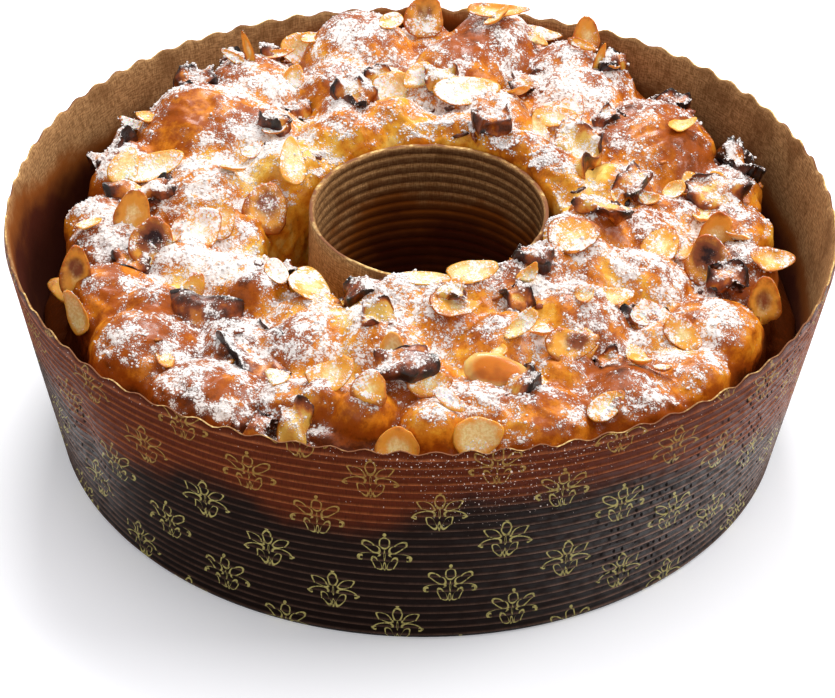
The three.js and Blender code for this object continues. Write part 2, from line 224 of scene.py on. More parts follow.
# The rim is cut unevenly, and the paper is a little buckled, most of all by a dent on the left
rim_inset = 0.75
buckle_depth = 0.4
dent_angle = math.radians(216)
dent_height = 36
dent_reach_across = 4.5
dent_reach_up = 20
dent_depth = 1.3
buckle = noise_round(wall_angle, 3, 0.02 * wall_height)
cut = noise_round(wall_angle, 14)
dent_across = turn_from(wall_angle, dent_angle) * base_radius / dent_reach_across
dent = np.exp(-(dent_across**2) - ((wall_height - dent_height) / dent_reach_up) ** 2)
inward = (rim_inset + buckle_depth * buckle) * wall_height / case_height + dent_depth * dent
scallop = scallop_height / 2 * np.cos(scallop_count * wall_angle) * (0.85 + 0.5 * cut)
scallop = np.minimum(scallop, scallop_height / 2) * smooth_share(wall_height, scallop_foot, case_height)
pushed = wall_radius(wall_angle, wall_height) - wall_depth - inward
move_to(wall_mesh, round_place(pushed, wall_angle, wall_height + scallop))


def line_round(angle, line):
    """Height at each angle of a line drawn round the case as rows of degrees and height."""
    degrees, heights = np.array(line).T
    return np.interp(np.degrees(angle) % 360, degrees, heights)


# Lower edge of the soaked band: degrees round the case and height
soaked_from = [
    (0, 22), (30, 40), (60, 50), (95, 44), (130, 52), (165, 38), (190, 46), (209, 41), (213, 34),
    (226, 37), (238, 47), (246, 45), (252, 39), (264, 39), (270, 45), (277, 51), (284, 49),
    (290, 51), (304, 47), (313, 43), (323, 37), (343, 25), (360, 22),
]
note_values(wall_mesh, "soak", wall_height - line_round(wall_angle, soaked_from))

# Height below which the bare inside is stained by the cake, in the same way
stained_below = [
    (0, 44), (40, 50), (60, 55), (75, 66), (90, 69), (105, 66), (120, 55), (140, 50), (165, 58),
    (185, 68), (205, 64), (220, 50), (325, 45), (360, 44),
]
stain = line_round(wall_angle, stained_below) - wall_height
note_values(wall_mesh, "stain", smooth_share(stain, -6, 14))

# Fat has made the paper shiny on the right and on the left, and there its crests are also painted
# lighter, a painted sheen: degrees, reach, height and rise
gloss_and_sheen_places = [(312, 23, 26, 30), (332, 14, 38, 30), (213, 10, 30, 24)]
fat_gloss_and_painted_sheen = np.zeros(len(wall_angle))
for middle, reach, height, rise in gloss_and_sheen_places:
    away = np.degrees(turn_from(wall_angle, math.radians(middle))) / reach
    fat_gloss_and_painted_sheen += np.exp(-(away**2) - ((wall_height - height) / rise) ** 2)
note_values(wall_mesh, "fat_gloss_and_painted_sheen", np.minimum(fat_gloss_and_painted_sheen, 1))

# Sugar has fallen on the upper flutes, most of it near the front
sprinkled_middle = math.radians(281)
sprinkled_reach = 17
off_middle = np.degrees(turn_from(wall_angle, sprinkled_middle)) / sprinkled_reach
sprinkled = np.exp(-(off_middle**2)) * smooth_share(wall_height, 32, 52)
sprinkled += 0.45 * smooth_share(wall_height, 56, 64)
note_values(wall_mesh, "sprinkled", np.minimum(sprinkled, 1))
note_values(wall_mesh, "groove", np.clip(wall_depth / flute_depth, 0, 1))
unroll(wall_mesh, wall_angle, wall_height, math.radians(80))


def plug(tree, made, sockets):
    """Links or sets the sockets of a node."""
    for key, value in sockets.items():
        if isinstance(value, bpy.types.NodeSocket):
            tree.links.new(value, made.inputs[key])
        else:
            made.inputs[key].default_value = value


def put(tree, kind, sockets=None, output=0, **settings):
    """A new node with its settings and sockets, of which one output is given back."""
    made = tree.nodes.new("ShaderNode" + kind)
    for name, value in settings.items():
        setattr(made, name, value)
    plug(tree, made, sockets or {})
    return made.outputs[output]


def calc(tree, operation, first, second=0.0):
    return put(tree, "Math", {0: first, 1: second}, operation=operation)


def plus(tree, first, second):
    return calc(tree, "ADD", first, second)


def minus(tree, first, second):
    return calc(tree, "SUBTRACT", first, second)


def times(tree, first, second):
    return calc(tree, "MULTIPLY", first, second)


def vector_calc(tree, operation, first, second=(0, 0, 0)):
    """A vector worked out from one or two others, or a number for a length or a dot product."""
    as_number = operation in ("LENGTH", "DOT_PRODUCT")
    return put(tree, "VectorMath", {0: first, 1: second}, output=int(as_number), operation=operation)


def fade(tree, value, low, high, start=0.0, end=1.0):
    """Start below low and end above high, with soft ends."""
    sockets = {0: value, 1: low, 2: high, 3: start, 4: end}
    return put(tree, "MapRange", sockets, interpolation_type="SMOOTHSTEP")


def mottle(tree, place, scale, detail=2.0, roughness=0.5):
    """Cloudy noise from 0 to 1 over a piece, finer with a larger scale."""
    sockets = {"Vector": place, "Scale": scale, "Detail": detail, "Roughness": roughness}
    return put(tree, "TexNoise", sockets)


def tint(tree, share, first, second):
    """One colour turned into another by a share. A Mix node takes its colours at sockets 6 and 7."""
    return put(tree, "Mix", {0: share, 6: first, 7: second}, output=2, data_type="RGBA")


def turned_by(tree, value, colour, steps):
    """A colour that turns into others as a value rises. Each step is from, to and colour."""
    for low, high, next_colour in steps:
        colour = tint(tree, fade(tree, value, low, high), colour, paint(*next_colour))
    return colour


def value_of(tree, name):
    """The number that a piece's mesh keeps under this name."""
    return put(tree, "Attribute", output="Fac", attribute_name=name)


def own_place(tree):
    """The place of each point on its piece, which stays at the origin."""
    return put(tree, "TexCoord", output="Object")


def paint(red, green, blue):
    """A colour given as the eye sees it, 0 to 255, in the renderer's linear values."""
    channels = [c / 255 for c in (red, green, blue)]
    return tuple(c / 12.92 if c <= 0.04045 else ((c + 0.055) / 1.055) ** 2.4 for c in channels) + (1,)


def new_group(name, inputs, outputs):
    """An empty shader node group, its inner tree, and its input and output nodes."""
    group = bpy.data.node_groups.new(name, "ShaderNodeTree")
    for label, kind in inputs.items():
        group.interface.new_socket(label, in_out="INPUT", socket_type="NodeSocket" + kind)
    for label, kind in outputs.items():
        group.interface.new_socket(label, in_out="OUTPUT", socket_type="NodeSocket" + kind)
    return group, group.nodes.new("NodeGroupInput").outputs, group.nodes.new("NodeGroupOutput").inputs


def use_group(tree, group, sockets):
    """Places a node group in a tree and gives back its outputs by name."""
    made = tree.nodes.new("ShaderNodeGroup")
    made.node_tree = group
    plug(tree, made, sockets)
    return made.outputs


def new_material(name, **uniform):
    """A material, its tree and its Principled BSDF, whose uniform sockets are set."""
    material = bpy.data.materials.new(name)
    material.use_nodes = True
    tree = material.node_tree
    shader = tree.nodes["Principled BSDF"]
    for label, value in uniform.items():
        shader.inputs[label.replace("_", " ")].default_value = value
    return material, tree, shader


def dress(tree, shader, **linked):
    for label, socket in linked.items():
        tree.links.new(socket, shader.inputs[label.replace("_", " ")])


def raised(tree, height, strength, distance):
    return put(tree, "Bump", {"Strength": strength, "Distance": distance * MM, "Height": height})


# One pen line of the ornament: an oval loop, left open on the side that Gap points to
pen_width = 0.24
pen_softness = 0.18
pen_settings = {
    "Place": "Vector", "Centre": "Vector", "Turn": "Float",
    "Reach": "Vector", "Gap": "Vector", "Stroke": "Float",
}
pen_loop, pen_in, pen_out = new_group("pen_loop", pen_settings, {"Line": "Float"})
offset = vector_calc(pen_loop, "SUBTRACT", pen_in["Place"], pen_in["Centre"])
turn_back = {"Vector": offset, "Angle": pen_in["Turn"]}
turned = put(pen_loop, "VectorRotate", turn_back, rotation_type="Z_AXIS", invert=True)
scaled = vector_calc(pen_loop, "DIVIDE", turned, pen_in["Reach"])
length = vector_calc(pen_loop, "LENGTH", scaled)
reach = vector_calc(pen_loop, "LENGTH", pen_in["Reach"])
off_loop = calc(pen_loop, "ABSOLUTE", minus(pen_loop, length, 1.0))
away = times(pen_loop, off_loop, reach)
pen_edge = plus(pen_loop, pen_in["Stroke"], pen_softness)
line = fade(pen_loop, away, pen_in["Stroke"], pen_edge, 1.0, 0.0)
towards_gap = vector_calc(pen_loop, "DOT_PRODUCT", scaled, pen_in["Gap"])
off_gap = fade(pen_loop, towards_gap, 0.45, 0.6, 1.0, 0.0)
pen_loop.links.new(times(pen_loop, line, off_gap), pen_out["Line"])

# The ornament repeats on a staggered lattice over the flat paper: two steps and one middle, in mm
lattice_up = (14.0, 15.2)
lattice_down = (17.4, -11.0)
lattice_middle = (5.7, 45.8)
ornament, ornament_in, ornament_out = new_group("gold_ornament", {"Flat": "Vector"}, {"Line": "Float"})
lattice_area = lattice_up[0] * lattice_down[1] - lattice_up[1] * lattice_down[0]
along_up = (lattice_down[1] / lattice_area, -lattice_down[0] / lattice_area, 0)
along_down = (-lattice_up[1] / lattice_area, lattice_up[0] / lattice_area, 0)
local = vector_calc(ornament, "SUBTRACT", ornament_in["Flat"], (*lattice_middle, 0))
flat_place = local
for reader, step in ((along_up, lattice_up), (along_down, lattice_down)):
    count = vector_calc(ornament, "DOT_PRODUCT", flat_place, reader)
    whole = calc(ornament, "ROUND", count)
    shift = put(ornament, "VectorMath", {0: (*step, 0), "Scale": whole}, operation="SCALE")
    local = vector_calc(ornament, "SUBTRACT", local, shift)
off_stem = put(ornament, "SeparateXYZ", {0: vector_calc(ornament, "ABSOLUTE", local)}, output="X")
up_stem = put(ornament, "SeparateXYZ", {0: local}, output="Y")
mirrored = put(ornament, "CombineXYZ", {"X": off_stem, "Y": up_stem})

# Loops of the ornament, mirrored on its stem: middle, turn in degrees, reach and gap
pen_loops = [
    ((0.0, 4.2), 0, (1.3, 2.1), (0, 0)),
    ((3.5, 2.7), 38, (2.7, 1.2), (0, 0.4)),
    ((4.1, -0.7), -12, (2.9, 1.25), (0, -1)),
    ((6.1, -1.4), 0, (0.6, 0.6), (-1, 0)),
    ((2.0, -3.3), 64, (2.4, 1.0), (0, 0.6)),
    ((0.0, -4.4), 0, (0.3, 1.3), (0, 0)),
    ((0.0, 7.1), 0, (0.25, 0.25), (0, 0)),
    ((0.0, -0.2), 0, (0.2, 1.5), (0, 0)),
]
drawn = 0.0
for middle, turn, reach, gap in pen_loops:
    sockets = {
        "Place": mirrored, "Centre": (*middle, 0), "Turn": math.radians(turn), "Reach": (*reach, 1e-4),
        "Gap": (*gap, 0), "Stroke": pen_width,
    }
    drawn = calc(ornament, "MAXIMUM", drawn, use_group(ornament, pen_loop, sockets)["Line"])
ornament.links.new(drawn, ornament_out["Line"])

# Small round dimples where grease has swelled the paper, one in most steps along each flute
dimple_step = 2.2
dimple_stray = 0.5
dimples, dimples_in, dimples_out = new_group("grease_dimples", {"Flat": "Vector"}, {"Dot": "Float"})
lattice_scale = (1 / dimple_step, 1 / flute_pitch, 0)
dimple_place = vector_calc(dimples, "MULTIPLY", dimples_in["Flat"], lattice_scale)
half_stray = (dimple_stray / 2, dimple_stray / 2, 0)
dimple_place = vector_calc(dimples, "ADD", dimple_place, half_stray)
cells = dimples.nodes.new("ShaderNodeTexVoronoi")
cells.voronoi_dimensions = "2D"
dimples.links.new(dimple_place, cells.inputs["Vector"])
cells.inputs["Scale"].default_value = 1
cells.inputs["Randomness"].default_value = dimple_stray
present = put(dimples, "SeparateColor", {0: cells.outputs["Color"]})
dot = fade(dimples, cells.outputs["Distance"], 0.16, 0.26, 1.0, 0.0)
dot = times(dimples, dot, fade(dimples, present, 0.3, 0.4))
dimples.links.new(dot, dimples_out["Dot"])

printed_paper, tree, shader = new_material(
    "printed_case_paper", Roughness=0.45, Specular_IOR_Level=0.04, Coat_Roughness=0.16, Coat_IOR=1.6
)
flat = put(tree, "UVMap", uv_map="unrolled")
soaked_ragged = plus(tree, value_of(tree, "soak"), times(tree, mottle(tree, flat, 0.12, 4.0), 9.0))
soaked = fade(tree, soaked_ragged, -1.0, 11.0)
streaked = vector_calc(tree, "MULTIPLY", flat, (2.6, 0.45, 0))
fibres = mottle(tree, streaked, 1.0, 3.0, 0.7)
# The crests of the flutes are painted lighter than the grooves: a painted highlight on the crests and
# painted shade in the grooves, uneven along them
painted_crest_highlight = fade(tree, value_of(tree, "groove"), 0.0, 0.75, 1.0, 0.0)
rubbed = fade(tree, mottle(tree, flat, 0.22, 3.0, 0.6), 0.3, 0.65, 0.45, 1.0)
painted_crest_highlight = times(tree, painted_crest_highlight, rubbed)
fat_gloss_and_painted_sheen = value_of(tree, "fat_gloss_and_painted_sheen")
# Where the paper is shiny, the crests are painted lighter still, a painted sheen; the coat gives the
# real gloss
dark_crest_highlight_and_sheen = tint(tree, fat_gloss_and_painted_sheen, paint(80, 58, 48), paint(146, 114, 100))
dark_zone = tint(tree, painted_crest_highlight, paint(19, 7, 4), dark_crest_highlight_and_sheen)
red_zone = tint(tree, painted_crest_highlight, paint(82, 30, 8), paint(158, 88, 50))
ground = tint(tree, soaked, dark_zone, red_zone)
ground = tint(tree, fade(tree, fibres, 0.4, 0.75, 0.0, 0.45), ground, paint(14, 6, 4))
gold = tint(tree, soaked, paint(164, 152, 92), paint(148, 116, 58))
line = use_group(tree, ornament, {"Flat": flat})["Line"]
worn = fade(tree, mottle(tree, flat, 1.1, 3.0, 0.7), 0.3, 0.55, 0.25, 1.0)
printed = tint(tree, times(tree, line, worn), ground, gold)
dimple_zone = fade(tree, plus(tree, fat_gloss_and_painted_sheen, times(tree, mottle(tree, flat, 0.1, 3.0), 0.6)), 0.75, 0.95)
dimpled = times(tree, use_group(tree, dimples, {"Flat": flat})["Dot"], dimple_zone)
printed = tint(tree, times(tree, dimpled, 0.9), printed, paint(10, 4, 4))
speck = mottle(tree, flat, 1.7, 1.0)
speck = plus(tree, speck, times(tree, value_of(tree, "sprinkled"), 0.12))
speck = times(tree, fade(tree, speck, 0.785, 0.82), fade(tree, value_of(tree, "sprinkled"), 0.1, 0.3))
printed = tint(tree, speck, printed, paint(226, 206, 196))
swelled = minus(tree, times(tree, fibres, 0.3), times(tree, dimpled, 1.6))
shine = times(tree, fat_gloss_and_painted_sheen, fade(tree, mottle(tree, flat, 0.3, 3.0, 0.6), 0.3, 0.65, 0.2, 0.8))
shine = times(tree, shine, minus(tree, 1.0, dimpled))
dress(tree, shader, Base_Color=printed, Coat_Weight=shine, Normal=raised(tree, swelled, 0.5, 0.3))

kraft, kraft_in, kraft_out = new_group(
    "kraft_paper", {"Flat": "Vector", "Stain": "Float"}, {"Colour": "Color", "Height": "Float"}
)
upright = vector_calc(kraft, "MULTIPLY", kraft_in["Flat"], (3.2, 0.35, 0))
level = vector_calc(kraft, "MULTIPLY", kraft_in["Flat"], (0.5, 2.2, 0))
weave = plus(kraft, mottle(kraft, upright, 1.0, 3.0, 0.6), mottle(kraft, level, 1.0, 3.0, 0.6))
bare = tint(kraft, fade(kraft, weave, 0.75, 1.3), paint(132, 92, 54), paint(204, 156, 104))
blotches = mottle(kraft, kraft_in["Flat"], 0.07, 3.0, 0.6)
bare = tint(kraft, fade(kraft, blotches, 0.5, 0.66, 0.0, 0.55), bare, paint(112, 70, 34))
wet = plus(kraft, kraft_in["Stain"], minus(kraft, times(kraft, blotches, 0.8), 0.4))
stained = turned_by(kraft, wet, bare, [(0.1, 0.55, (140, 76, 24)), (0.45, 1.0, (74, 26, 8))])
kraft.links.new(stained, kraft_out["Colour"])
kraft.links.new(weave, kraft_out["Height"])

wall_kraft, tree, shader = new_material("kraft_inside_wall", Roughness=0.75, Specular_IOR_Level=0.15)
flat = put(tree, "UVMap", uv_map="unrolled")
inside_seen = use_group(tree, kraft, {"Flat": flat, "Stain": value_of(tree, "stain")})
woven = raised(tree, inside_seen["Height"], 0.5, 0.15)
dress(tree, shader, Base_Color=inside_seen["Colour"], Normal=woven)

cut_paper, tree, shader = new_material("cut_paper_edge", Roughness=0.8)
place = own_place(tree)
torn = mottle(tree, place, 900.0)
edge_colour = tint(tree, fade(tree, torn, 0.35, 0.7), paint(190, 140, 74), paint(246, 212, 140))
greasy = fade(tree, mottle(tree, place, 110.0, 3.0, 0.6), 0.38, 0.56)
edge_colour = tint(tree, greasy, edge_colour, paint(128, 74, 34))
dress(tree, shader, Base_Color=edge_colour)

for material in (printed_paper, wall_kraft, cut_paper):
    wall_mesh.materials.append(material)
x, y, z = read_all(wall_mesh.polygons, "center", 3).T / MM
nx, ny, nz = read_all(wall_mesh.polygons, "normal", 3).T
printed_side, kraft_side, cut_side = range(3)
side = np.where(nx * x + ny * y > 0, printed_side, kraft_side)
on_cut = (np.abs(nz) > 0.7) & ((z > scallop_foot) | (z < 0.5))
wall_mesh.polygons.foreach_set("material_index", np.where(on_cut, cut_side, side))
as_piece("case_wall_paper", wall_mesh, "printed_case_paper", "case_wall")


# --- Base of the case ----------------------------------------------------------------------------
# A flat ring of the same kraft paper, cut out and glued under the wall and the tube. The cake
# stands on it. It keeps the shape of its solid.

base_kraft, tree, shader = new_material("kraft_base", Roughness=0.78, Specular_IOR_Level=0.3)
place = own_place(tree)
flat = put(tree, "VectorMath", {0: place, "Scale": 1 / MM}, operation="SCALE")
base_seen = use_group(tree, kraft, {"Flat": flat, "Stain": 0.12})
woven = raised(tree, base_seen["Height"], 0.5, 0.15)
dress(tree, shader, Base_Color=base_seen["Colour"], Normal=woven)
base_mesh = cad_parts["case_base"].data
base_mesh.materials.clear()
base_mesh.materials.append(base_kraft)


# --- Tube in the middle --------------------------------------------------------------------------
# A sleeve of fluted kraft paper that keeps the hole open. Its flutes face the hole, its smooth side
# faces the dough, and its cut rim stands just out of the cake.

tube_top_radius = 32.8
tube_base_radius = 34
tube_offset = 2
tube_flutes = 21
tube_steps = 180
tube_pitch = 2 * case_height / (2 * tube_flutes - 1)


def tube_lean(height):
    """Outer radius of the tube, about its own axis."""
    narrowing = tube_top_radius - tube_base_radius
    return tube_base_radius + narrowing * np.minimum(height / case_height, 1)


def tube_outside(angle, height):
    """Distance from the case's axis to the outside of the tube, which stands off that axis."""
    across = tube_offset * np.sin(angle)
    return tube_offset * np.cos(angle) + np.sqrt(tube_lean(height) ** 2 - across**2)


tube_rises = np.linspace(case_height, 0, tube_flutes * 6)
tube_groove = flute_depth * np.abs(np.sin(math.pi * (case_height - tube_rises) / tube_pitch)) ** 0.8
tube_section = [
    (tube_lean(rise) - paper - groove, rise) for rise, groove in zip(tube_rises, tube_groove)
] + [(tube_lean(rise), rise) for rise in np.linspace(0, case_height, 20)]
tube_mesh = as_mesh(ring_of(tube_section, tube_steps), "case_tube_paper")
spun = read_places(tube_mesh)
tube_angle = np.arctan2(spun[:, 1], spun[:, 0])
worn_edge = noise_round(tube_angle, 9, 4)
spun[:, 2] -= (0.35 + 0.35 * worn_edge) * smooth_share(spun[:, 2], case_height - 3, case_height)
tube_depth = tube_lean(spun[:, 2]) - paper - np.hypot(spun[:, 0], spun[:, 1])

# On the left the paper is painted paler, with lighter grooves and hardly a stain: painted light, as if
# lit from the right. Lower down the hole the stain value paints it darker, as painted shade.
painted_light_angle = math.radians(190)
painted_light_reach = 50
painted_light_left = np.exp(-((np.degrees(turn_from(tube_angle, painted_light_angle)) / painted_light_reach) ** 2))
note_values(tube_mesh, "groove", np.clip(tube_depth / flute_depth, 0, 1) * (1 - 0.55 * painted_light_left))
# On the tube the stain value is painted shade: dark down the hole and on the right, light on the
# painted lit left
note_values(tube_mesh, "stain", (0.95 - 0.95 * painted_light_left) * smooth_share(62 - spun[:, 2], 0, 30))
unroll(tube_mesh, tube_angle, spun[:, 2], math.radians(250))
spun[:, 0] += tube_offset
move_to(tube_mesh, spun)

tube_kraft, tree, shader = new_material("kraft_tube", Roughness=0.62, Specular_IOR_Level=0.05)
flat = put(tree, "UVMap", uv_map="unrolled")
flat = vector_calc(tree, "MULTIPLY", flat, (0.32, 1, 0))
tube_seen = use_group(tree, kraft, {"Flat": flat, "Stain": value_of(tree, "stain")})
# The grooves are painted darker, painted shade in them, less of it on the painted lit left
painted_groove_shade = fade(tree, value_of(tree, "groove"), 0.2, 0.9, 0.0, 0.75)
ribbed_with_painted_shade = tint(tree, painted_groove_shade, tube_seen["Colour"], paint(58, 22, 4))
woven = raised(tree, tube_seen["Height"], 0.5, 0.15)
dress(tree, shader, Base_Color=ribbed_with_painted_shade, Normal=woven)
tube_mesh.materials.append(tube_kraft)
tube_mesh.materials.append(cut_paper)
on_cut = np.abs(read_all(tube_mesh.polygons, "normal", 3)[:, 2]) > 0.9
tube_mesh.polygons.foreach_set("material_index", on_cut.astype(int))
as_piece("case_tube_paper", tube_mesh, "kraft_case_paper", "case_tube")


# --- Dough ---------------------------------------------------------------------------------------
# One ring of soft yeast dough that has risen in mounds between the fruit and baked to a glossy
# golden-brown crust, painted darkest near the wall as painted shade. It fills the case and laps over
# the rim of the tube.

crown_height = 61.5
crown_swell = 3.5
collar_height = 66.5
skirt_height = 30
front_gap = 2
side_gap = 11
tube_gap = 5.5
tube_lap = 3
core_radius = 68
core_height = 20
crease = 4
crease_softness = 2.4
wall_sides = 26
ring_steps = 720
crust_steps = 112

# Mounds: angle (degrees from +X, the front is 270), distance from the axis, reach and rise
mounds = [
    (5, 88, 15, 5), (8, 70, 13, 4), (18, 95, 14, 3), (20, 60, 13, 4), (34, 79, 23, 9),
    (45, 60, 13, 4), (55, 79, 16, 6), (56, 95, 13, 4), (62, 92, 15, 7), (69, 56, 14, 5),
    (77, 94, 18, 9), (82, 80, 16, 6), (88, 64, 12, 3), (90, 97, 10, 6), (101, 47, 12, 5),
    (102, 92, 19, 9), (110, 72, 15, 5), (112, 58, 10, 3), (120, 48, 12, 3), (126, 86, 17, 6),
    (135, 66, 13, 4), (142, 80, 23, 9), (146, 50, 12, 2), (160, 90, 15, 4), (162, 66, 17, 4),
    (175, 92, 13, 4), (178, 50, 12, 2), (183, 86, 17, 5), (190, 66, 14, 3), (199, 89, 16, 5),
    (203, 55, 15, 4), (207, 80, 12, 4), (216, 54, 11, 6), (217, 92, 19, 6), (228, 72, 12, 3),
    (232, 50, 11, 2), (234, 97, 18, 5), (243, 64, 14, 4), (247, 88, 10, 1), (253, 85, 9, 4),
    (258, 58, 15, 4), (261, 88, 10, 5), (269, 74, 12, 2), (272, 91, 10, 4), (276, 48, 11, 3),
    (281, 83, 12, 2), (290, 93, 16, 4), (291, 62, 14, 4), (300, 76, 11, 3), (306, 94, 17, 5),
    (310, 50, 12, 2), (314, 62, 15, 5), (318, 96, 14, 4), (324, 80, 11, 2), (332, 90, 17, 5),
    (336, 50, 12, 3), (341, 65, 14, 5), (352, 89, 15, 5), (357, 48, 12, 4), (359, 65, 14, 5),
    (30, 42, 12, 5), (46, 41, 11, 5), (60, 41, 10, 4), (76, 42, 11, 3), (92, 41, 10, 3),
    (115, 42, 11, 3), (262, 42, 11, 4), (275, 41, 9, 3), (288, 41, 10, 4), (305, 41, 11, 4),
    (325, 41, 11, 4), (345, 40, 11, 4),
]


def inside_facets(angle, height):
    """The dough keeps a seam off the flat sides that stand for the wall."""
    side = math.tau / wall_sides
    off_middle = angle % side - side / 2
    return wall_inside(angle, height) * math.cos(side / 2) / np.cos(off_middle) - seam_gap


def crust_line(angle):
    """The bare crust's section at each angle: from the tube, over the top, to the wall."""
    top = crown_height - crown_swell * np.cos(2 * angle)
    off = 1 - smooth_share(np.degrees(np.abs(turn_from(angle, math.radians(200)))), 20, 60)
    inner = tube_outside(angle, top) + 2 * seam_gap + tube_gap * off
    gap = front_gap + (side_gap - front_gap) * ((1 + np.cos(2 * angle)) / 2) ** 2
    outer = wall_inside(angle, top) - gap
    skirt = np.full_like(angle, skirt_height)
    distances = [
        tube_outside(angle, skirt) + 2 * seam_gap, inner, inner + 4, inner + 13, (inner + outer) / 2,
        outer - 15, outer - 3, outer, inside_facets(angle, skirt),
    ]
    heights = [
        skirt, collar_height - 5 + off * (top - 10 - collar_height),
        collar_height + off * (top - 3 - collar_height),
        collar_height + 1 + off * (top - 1 - collar_height), top + 1, top, top - 4, top - 14, skirt,
    ]
    return np.stack([np.stack(distances, -1), np.stack(heights, -1)], axis=-1)


def crust_point(angle, along):
    """Distance and height of the bare crust, on a smooth curve through the points of its line."""
    line = crust_line(angle)
    count = line.shape[1]
    share = along * (count - 1)
    at = np.minimum(share.astype(int), count - 1)
    part = (share - at)[:, None]
    rows = np.arange(len(angle))
    before, here, after, beyond = (line[rows, np.clip(at + k, 0, count - 1)] for k in (-1, 0, 1, 2))
    leaving = (after - before) / 2
    arriving = (beyond - here) / 2
    bend = (2 * here - 2 * after + leaving + arriving) * part**3
    bow = (-3 * here + 3 * after - 2 * leaving - arriving) * part**2
    return (bend + bow + leaving * part + here).T


def along_at(angle, distance, distance_at):
    """Where along the crust line the wanted distance lies, by halving."""
    low = np.full_like(angle, 0.15)
    high = np.full_like(angle, 0.85)
    for _ in range(20):
        middle = (low + high) / 2
        short = distance_at(angle, middle) < distance
        low = np.where(short, middle, low)
        high = np.where(short, high, middle)
    return (low + high) / 2


mound_angle, mound_distance, mound_reach, mound_rise = np.array(mounds, float).T
mound_angle = np.radians(mound_angle)
mound_along = along_at(mound_angle, mound_distance, lambda angle, along: crust_point(angle, along)[0])
mound_radius, mound_height = crust_point(mound_angle, mound_along)
mound_middles = round_place(mound_radius, mound_angle, mound_height)


def swell(points):
    """Height of the mounds over the crust: the highest of all, with soft creases where two meet."""
    height = np.full(len(points), -float(crease))
    for middle, reach, rise in zip(mound_middles, mound_reach, mound_rise):
        away = np.linalg.norm(points - middle, axis=1) / reach
        dome = rise * (1 - away**2) - crease * away**2
        blend = np.maximum(crease_softness - np.abs(dome - height), 0) / crease_softness
        height = np.maximum(dome, height) + blend**2 * crease_softness / 4
    return height


def noise_at(points, size, seed=0.0):
    """Soft noise from -1 to 1 whose lumps are about one size across."""
    shift = Vector((seed, 2 * seed, 3 * seed))
    return np.array([noise.noise(Vector(point) / size + shift) for point in points])


def dough_surface(angle, along, fine=False):
    """Places on the dough's surface, and how high each lies between crease and mound top."""
    distance, height = crust_point(angle, along)
    points = round_place(distance, angle, height)
    out_across = distance - core_radius
    out_up = height - core_height
    out_length = np.hypot(out_across, out_up)
    swollen = swell(points)
    shown = smooth_share(height, skirt_height, skirt_height + 12)
    if fine:
        billows = noise_at(points, 11, 1.3)
        puckers = 1 - np.abs(noise_at(points, 5.5, 4.1)) * 2.4
        pimples = noise_at(points, 2.2, 7.7)
        relief = 1.2 * billows + 0.7 * puckers + 0.42 * pimples - 0.8
    else:
        relief = 0
    amount = (swollen + relief) * shown
    risen = height + out_up / out_length * amount
    lap = tube_lap * smooth_share(risen, case_height + 1, case_height + 3)
    inside = tube_outside(angle, risen) + 2 * seam_gap - lap
    radius = np.clip(distance + out_across / out_length * amount, inside, inside_facets(angle, risen))
    return round_place(radius, angle, risen), swollen


# The section is spun with marks for distances: 1 to 2 along the crust, and four marks for the rows
# below it, two against the wall and two against the tube
dough_section = [(1 + step / crust_steps, 0) for step in range(crust_steps + 1)]
dough_section += [(2.2, 0), (2.3, 0), (0.7, 0), (0.8, 0)]
dough_mesh = as_mesh(ring_of(dough_section, ring_steps), "dough")
spun = read_places(dough_mesh)
dough_angle = np.arctan2(spun[:, 1], spun[:, 0])
section_at = np.hypot(spun[:, 0], spun[:, 1]) - 1
places, swollen = dough_surface(dough_angle, np.clip(section_at, 0, 1), fine=True)
floor_height = paper + seam_gap
halfway_down = (skirt_height + floor_height) / 2
lower_rows = [
    (1.2, inside_facets, 0, halfway_down), (1.3, inside_facets, 0, floor_height),
    (-0.3, tube_outside, 2 * seam_gap, floor_height), (-0.2, tube_outside, 2 * seam_gap, halfway_down),
]
for mark, radius_at, gap, height in lower_rows:
    here = np.abs(section_at - mark) < 0.02
    angle = dough_angle[here]
    level = np.full_like(angle, height)
    places[here] = round_place(radius_at(angle, level) + gap, angle, level)
move_to(dough_mesh, places)
shape = bmesh.new()
shape.from_mesh(dough_mesh)
bmesh.ops.recalc_face_normals(shape, faces=shape.faces)
shape.to_mesh(dough_mesh)
shape.free()


def read_normals(mesh):
    return read_all(mesh.vertex_normals, "vector", 3)


def patches_at(points, patches):
    """Sum of soft round patches: angle, distance from the axis, reach and amount."""
    total = np.zeros(len(points))
    for angle, distance, reach, amount in patches:
        x = distance * math.cos(math.radians(angle))
        y = distance * math.sin(math.radians(angle))
        away = np.hypot(points[:, 0] - x, points[:, 1] - y) / reach
        total += amount * np.exp(-(away**2))
    return total


# Where the crust is browner or paler, and where more or less sugar fell
browned = [
    (147, 80, 13, 0.15), (28, 81, 13, 0.15), (100, 95, 12, 0.2), (80, 90, 12, 0.4),
    (225, 92, 14, 0.25), (306, 92, 13, 0.3), (185, 90, 12, 0.25), (352, 90, 12, 0.25),
    (240, 98, 10, 0.3), (219, 59, 8, 0.4), (223, 54, 5, -0.4), (23, 54, 8, -0.35),
    (250, 53, 9, -0.15), (243, 94, 7, -0.3), (262, 98, 7, 0.2), (300, 62, 9, -0.15),
    (150, 50, 8, -0.3), (62, 46, 8, -0.3), (284, 58, 8, 0.15), (318, 58, 8, 0.15),
    (197, 90, 14, 0.2), (305, 86, 14, 0.15), (350, 84, 14, 0.1), (40, 84, 14, 0.1),
    (250, 48, 12, -0.1), (207, 55, 12, -0.3), (217, 72, 14, 0.2), (236, 76, 12, 0.25),
]
